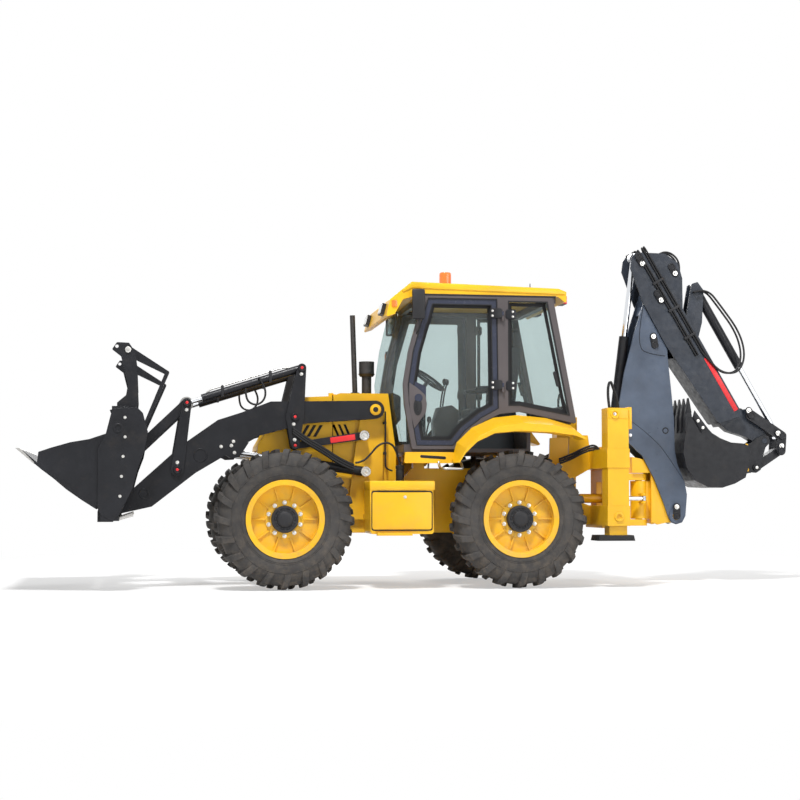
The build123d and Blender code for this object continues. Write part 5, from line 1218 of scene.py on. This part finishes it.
class BACKHOE_OT_trim(bpy.types.Operator):
    """Adds the red stripes, painted shade in the louvre slots and in the boom's hole, cutting edges, teeth, side bolts,
    and the fittings of legs and boom
    """
    bl_idname = "backhoe.trim"
    bl_label = "Trim and edges"

    def execute(self, context):
        self.stripes_and_louvre_shade()
        self.loader_edges()
        self.hoe_edges()
        self.leg_fittings()
        self.boom_fittings()
        return {"FINISHED"}

    def stripes_and_louvre_shade(self):
        link = cut_plate([(-0.776, 1.592), (-0.784, 1.535), (-0.524, 1.496), (-0.516, 1.553)], 0.5395, 0.5425, 0.001)
        mount_pair(link, "Link_stripe", "red", "levelling_links")
        corners = [dipper_spot(distance, side, 0.0) for distance, side in
                   ((1.150, -0.112), (1.150, -0.166), (0.470, -0.166), (0.470, -0.112))]
        stripe = cut_plate([(corner.x - FRONT_WHEEL.x, corner.z) for corner in corners], 0.1775, 0.181, 0.001)
        mount_pair(stripe, "Dipper_stripe", "red", "dipper")
        # Black strips painted as the shade inside the bonnet's louvre slots, which have nothing behind them in the
        # model.
        slot_shades = []
        for index in range(3):
            x = -0.455 + 0.068 * index
            slot_shades.append(cut_plate([(x + 0.070, 1.568), (x + 0.104, 1.568), (x + 0.034, 1.690), (x, 1.690)],
                                   0.4075, 0.4105, 0.001))
        mount_pair(joined(slot_shades), "Louvre_slots_painted_shade", "seal_and_painted_shade", "bonnet_lid")
        screen = cut_plate(soft_square((-0.860, 1.530), (-0.600, 1.730), 0.012), 0.380, 0.386, 0.001)
        mount_pair(screen, "Cowl_screen", "seal_and_painted_shade", "machine")

    def loader_edges(self):
        bolts = [(1.591, 1.719), (1.589, 1.527), (1.606, 1.334), (1.620, 1.138), (1.633, 0.943)]
        mount_pair(bolt_heads(bolts, BUCKET_FACE, 0.011, 0.008), "Bucket_side_bolts", "zinc", "front_bucket")
        blade = cut_plate([(1.664, 0.726), (1.652, 0.700), (1.502, 0.745), (1.510, 0.778)], 0.900, 1.150)
        mount_pair(blade, "Blade_end", "steel", "front_bucket")
        lip = cut_plate([(2.646, 1.414), (2.470, 1.262), (2.462, 1.271), (2.600, 1.4145)], -1.146, 1.146)
        mount(lip, "Clam_edge", "steel", "clam")

    def hoe_edges(self):
        cutter = cut_plate([(-4.712, 1.690), (-4.606, 1.828), (-4.562, 1.886), (-4.540, 1.810), (-4.640, 1.640)],
                           0.324, 0.340, 0.003)
        mount_pair(cutter, "Side_cutter", "charcoal", "hoe_bucket")
        mount_pair(bolt_heads([(-4.600, 1.770), (-4.655, 1.696)], 0.339, 0.012), "Side_cutter_bolts", "zinc",
                   "hoe_bucket")
        tip = cut_plate([(-4.534, 1.860), (-4.470, 1.860), (-4.492, 1.960), (-4.502, 2.024), (-4.516, 1.960)],
                        -0.0345, 0.0345, 0.003)
        pitch = (2 * 0.325 - 0.070) / 4
        tips = repeated(tip, [Matrix.Translation((0.0, -0.290 + pitch * index, 0.0)) for index in range(5)])
        mount(tips, "Tooth_tips", "charcoal", "hoe_bucket")
        pins = [spun([(0.020, 0.0), (0.020, 0.010), (0.016, 0.013), (0.0, 0.013)], spot(x, z, 0.098), steps=24)
                for x, z in ((-5.245, 1.510), (-5.250, 1.240))]
        mount_pair(joined(pins), "Ear_pins", "yellow", "hoe_bucket")

    def leg_fittings(self):
        rings = []
        for x, z in ((-3.413, 1.794), (-3.447, 0.729)):
            rings.append(spun([(0.026, 0.0), (0.026, 0.012), (0.030, 0.016), (0.044, 0.016), (0.048, 0.010),
                               (0.048, 0.0)], spot(x, z, 1.149 if z > 1.0 else 1.157), steps=32))
        band = cut_plate(soft_square((-3.552, 1.745), (-3.343, 1.845), 0.012), 1.148, 1.154)
        mount_pair(joined(rings + [band]), "Leg_bosses", "yellow", "machine")
        mount_pair(bolt_heads([(-3.413, 1.794)], 1.154, 0.012, 0.014), "Leg_bolts", "zinc", "machine")
        pad = cut_plate([(-3.616, 0.484), (-3.222, 0.484), (-3.236, 0.542), (-3.602, 0.542)], 0.877, 1.1745, 0.004)
        mount_pair(pad, "Foot_pad", "hose", "stabiliser_left", right_body="stabiliser_right")
        plate = pressed_block(spot(-3.604, 1.640, 1.020), spot(-3.558, 1.868, 1.130), 0.006)
        mount_pair(plate, "Leg_plate", "yellow", "machine")

    def boom_fittings(self):
        ridge = bent_pipe(side_route([(-4.045, 3.048), (-4.000, 2.790), (-4.000, 2.610), (-4.060, 2.520),
                                      (-4.290, 2.496)], BOOM_FACE + 0.0005), 0.004)
        weld = bent_pipe(side_route([(-3.900, 1.770), (-4.174, 1.575), (-4.369, 1.310), (-4.500, 1.112)], BOOM_FACE),
                         0.003)
        mount_pair(joined([ridge, weld]), "Boom_seams", "dark_slate", "boom")
        lock = turned(spot(-3.880, 1.613, 0.145), spot(-3.880, 1.613, 0.178), 0.019, 0.004, 24)
        mount_pair(lock, "Lock_pin", "zinc", "boom")
        # A black disc painted as the shade inside the hole in the boom.
        hole = spun([(0.0, 0.0), (0.024, 0.0), (0.026, 0.003), (0.034, 0.003), (0.036, 0.0)],
                    spot(-4.290, 1.668, 0.1498), steps=32)
        mount_pair(hole, "Boom_hole_painted_shade", "seal_and_painted_shade", "boom")


# Stage

FRAME_PIXELS = 800.0
FLOOR_SIZE = 400


class BACKHOE_OT_stage(bpy.types.Operator):
    """Sets the pale floor, the white surroundings, the lamps and the photograph's camera"""
    bl_idname = "backhoe.stage"
    bl_label = "Stage"

    def execute(self, context):
        studio = context.scene.backhoe_studio
        self.lay_floor()
        self.light_world(context.scene)
        self.hang_lamps(studio)
        self.place_camera(context.scene, studio)
        context.scene.view_settings.view_transform = "Standard"
        return {"FINISHED"}

    def lay_floor(self):
        clear_selection()
        bpy.ops.mesh.primitive_plane_add(size=FLOOR_SIZE)
        floor = bpy.context.active_object
        floor.name = "Floor"
        finish, tree, shader, place = new_finish("Floor")
        grain = spread(tree, noise(tree, place, 0.6, 3.0), 0.3, 0.7)
        tree.links.new(blended(tree, grain, (0.86, 0.86, 0.86), (0.90, 0.90, 0.90)), shader.inputs["Base Color"])
        shader.inputs["Roughness"].default_value = 0.9
        shader.inputs["Specular IOR Level"].default_value = 0.1
        white = tree.nodes.new("ShaderNodeEmission")
        light_path = tree.nodes.new("ShaderNodeLightPath")
        distance = tree.nodes.new("ShaderNodeVectorMath")
        distance.operation = "LENGTH"
        tree.links.new(place, distance.inputs[0])
        fade = spread(tree, distance.outputs["Value"], 4.5, 11.0, 0.45, 1.0)
        mix = tree.nodes.new("ShaderNodeMixShader")
        tree.links.new(product(tree, fade, light_path.outputs["Is Camera Ray"]), mix.inputs[0])
        tree.links.new(shader.outputs[0], mix.inputs[1])
        tree.links.new(white.outputs[0], mix.inputs[2])
        tree.links.new(mix.outputs[0], tree.nodes["Material Output"].inputs["Surface"])
        floor.data.materials.append(finish)

    def light_world(self, scene):
        world = bpy.data.worlds.new("Surroundings")
        scene.world = world
        world.use_nodes = True
        tree = world.node_tree
        light_path = tree.nodes.new("ShaderNodeLightPath")
        seen = tree.nodes.new("ShaderNodeMath")
        seen.operation = "MAXIMUM"
        tree.links.new(light_path.outputs["Is Camera Ray"], seen.inputs[0])
        tree.links.new(light_path.outputs["Is Transmission Ray"], seen.inputs[1])
        shine = tree.nodes.new("ShaderNodeMath")
        shine.operation = "MAXIMUM"
        tree.links.new(seen.outputs[0], shine.inputs[0])
        tree.links.new(light_path.outputs["Is Glossy Ray"], shine.inputs[1])
        lit = tree.nodes.new("ShaderNodeMapRange")
        lit.inputs["To Min"].default_value = 0.36
        lit.inputs["To Max"].default_value = 1.0
        tree.links.new(shine.outputs[0], lit.inputs["Value"])
        background = tree.nodes["Background"]
        background.inputs["Color"].default_value = (1.0, 1.0, 1.0, 1.0)
        tree.links.new(lit.outputs["Result"], background.inputs["Strength"])

    def hang_lamps(self, studio):
        lamps = (("Key", (3.0, 7.5, 14.5), 1.8, 1.0), ("Fill", (-9.0, 12.0, 5.0), 7.0, 0.2),
                 ("Back", (-2.0, -10.0, 9.0), 6.0, 0.35))
        target = (CAD_BOX[0] + CAD_BOX[1]) / 2
        for name, place, size, share in lamps:
            light = bpy.data.lights.new(name, "AREA")
            light.energy = studio.key_power * share
            light.size = size
            lamp = bpy.data.objects.new(name, light)
            lamp.location = place
            lamp.rotation_euler = (target - Vector(place)).to_track_quat("-Z", "Y").to_euler()
            bpy.context.scene.collection.objects.link(lamp)

    def place_camera(self, scene, studio):
        camera = bpy.data.cameras.new("Photograph")
        camera.sensor_width = 36.0
        camera.lens = camera.sensor_width * studio.focal_pixels / FRAME_PIXELS
        camera.clip_end = 600.0
        view = bpy.data.objects.new("Photograph", camera)
        x, y, z = studio.camera_place
        view.location = spot(x, z, y)
        flat = math.cos(studio.pitch)
        look = Vector((-math.sin(studio.yaw) * flat, -math.cos(studio.yaw) * flat, math.sin(studio.pitch)))
        view.rotation_euler = look.to_track_quat("-Z", "Y").to_euler()
        scene.collection.objects.link(view)
        scene.camera = view


OPERATORS = (BACKHOE_OT_finishes, BACKHOE_OT_tyres, BACKHOE_OT_hubs, BACKHOE_OT_pins, BACKHOE_OT_hoses,
             BACKHOE_OT_cab, BACKHOE_OT_lenses, BACKHOE_OT_trim, BACKHOE_OT_stage)


class BACKHOE_PT_panel(bpy.types.Panel):
    """Lists the steps and their settings"""
    bl_idname = "BACKHOE_PT_panel"
    bl_label = "Backhoe loader"
    bl_space_type = "VIEW_3D"
    bl_region_type = "UI"
    bl_category = "Backhoe"

    def draw(self, context):
        for name in SETTINGS:
            settings = getattr(context.scene, name)
            box = self.layout.box()
            for key in settings.bl_rna.properties.keys():
                if key not in ("rna_type", "name"):
                    box.prop(settings, key)
        for operator in OPERATORS:
            self.layout.operator(operator.bl_idname)


CLASSES = (*SETTINGS.values(), *OPERATORS, BACKHOE_PT_panel)


def register():
    for item in CLASSES:
        bpy.utils.register_class(item)
    for name, settings in SETTINGS.items():
        setattr(bpy.types.Scene, name, bpy.props.PointerProperty(type=settings))


def unregister():
    for name in SETTINGS:
        delattr(bpy.types.Scene, name)
    for item in reversed(CLASSES):
        bpy.utils.unregister_class(item)


def main():
    register()
    for operator in OPERATORS:
        group, name = operator.bl_idname.split(".")
        getattr(getattr(bpy.ops, group), name)()


if __name__ == "__main__":
    main()
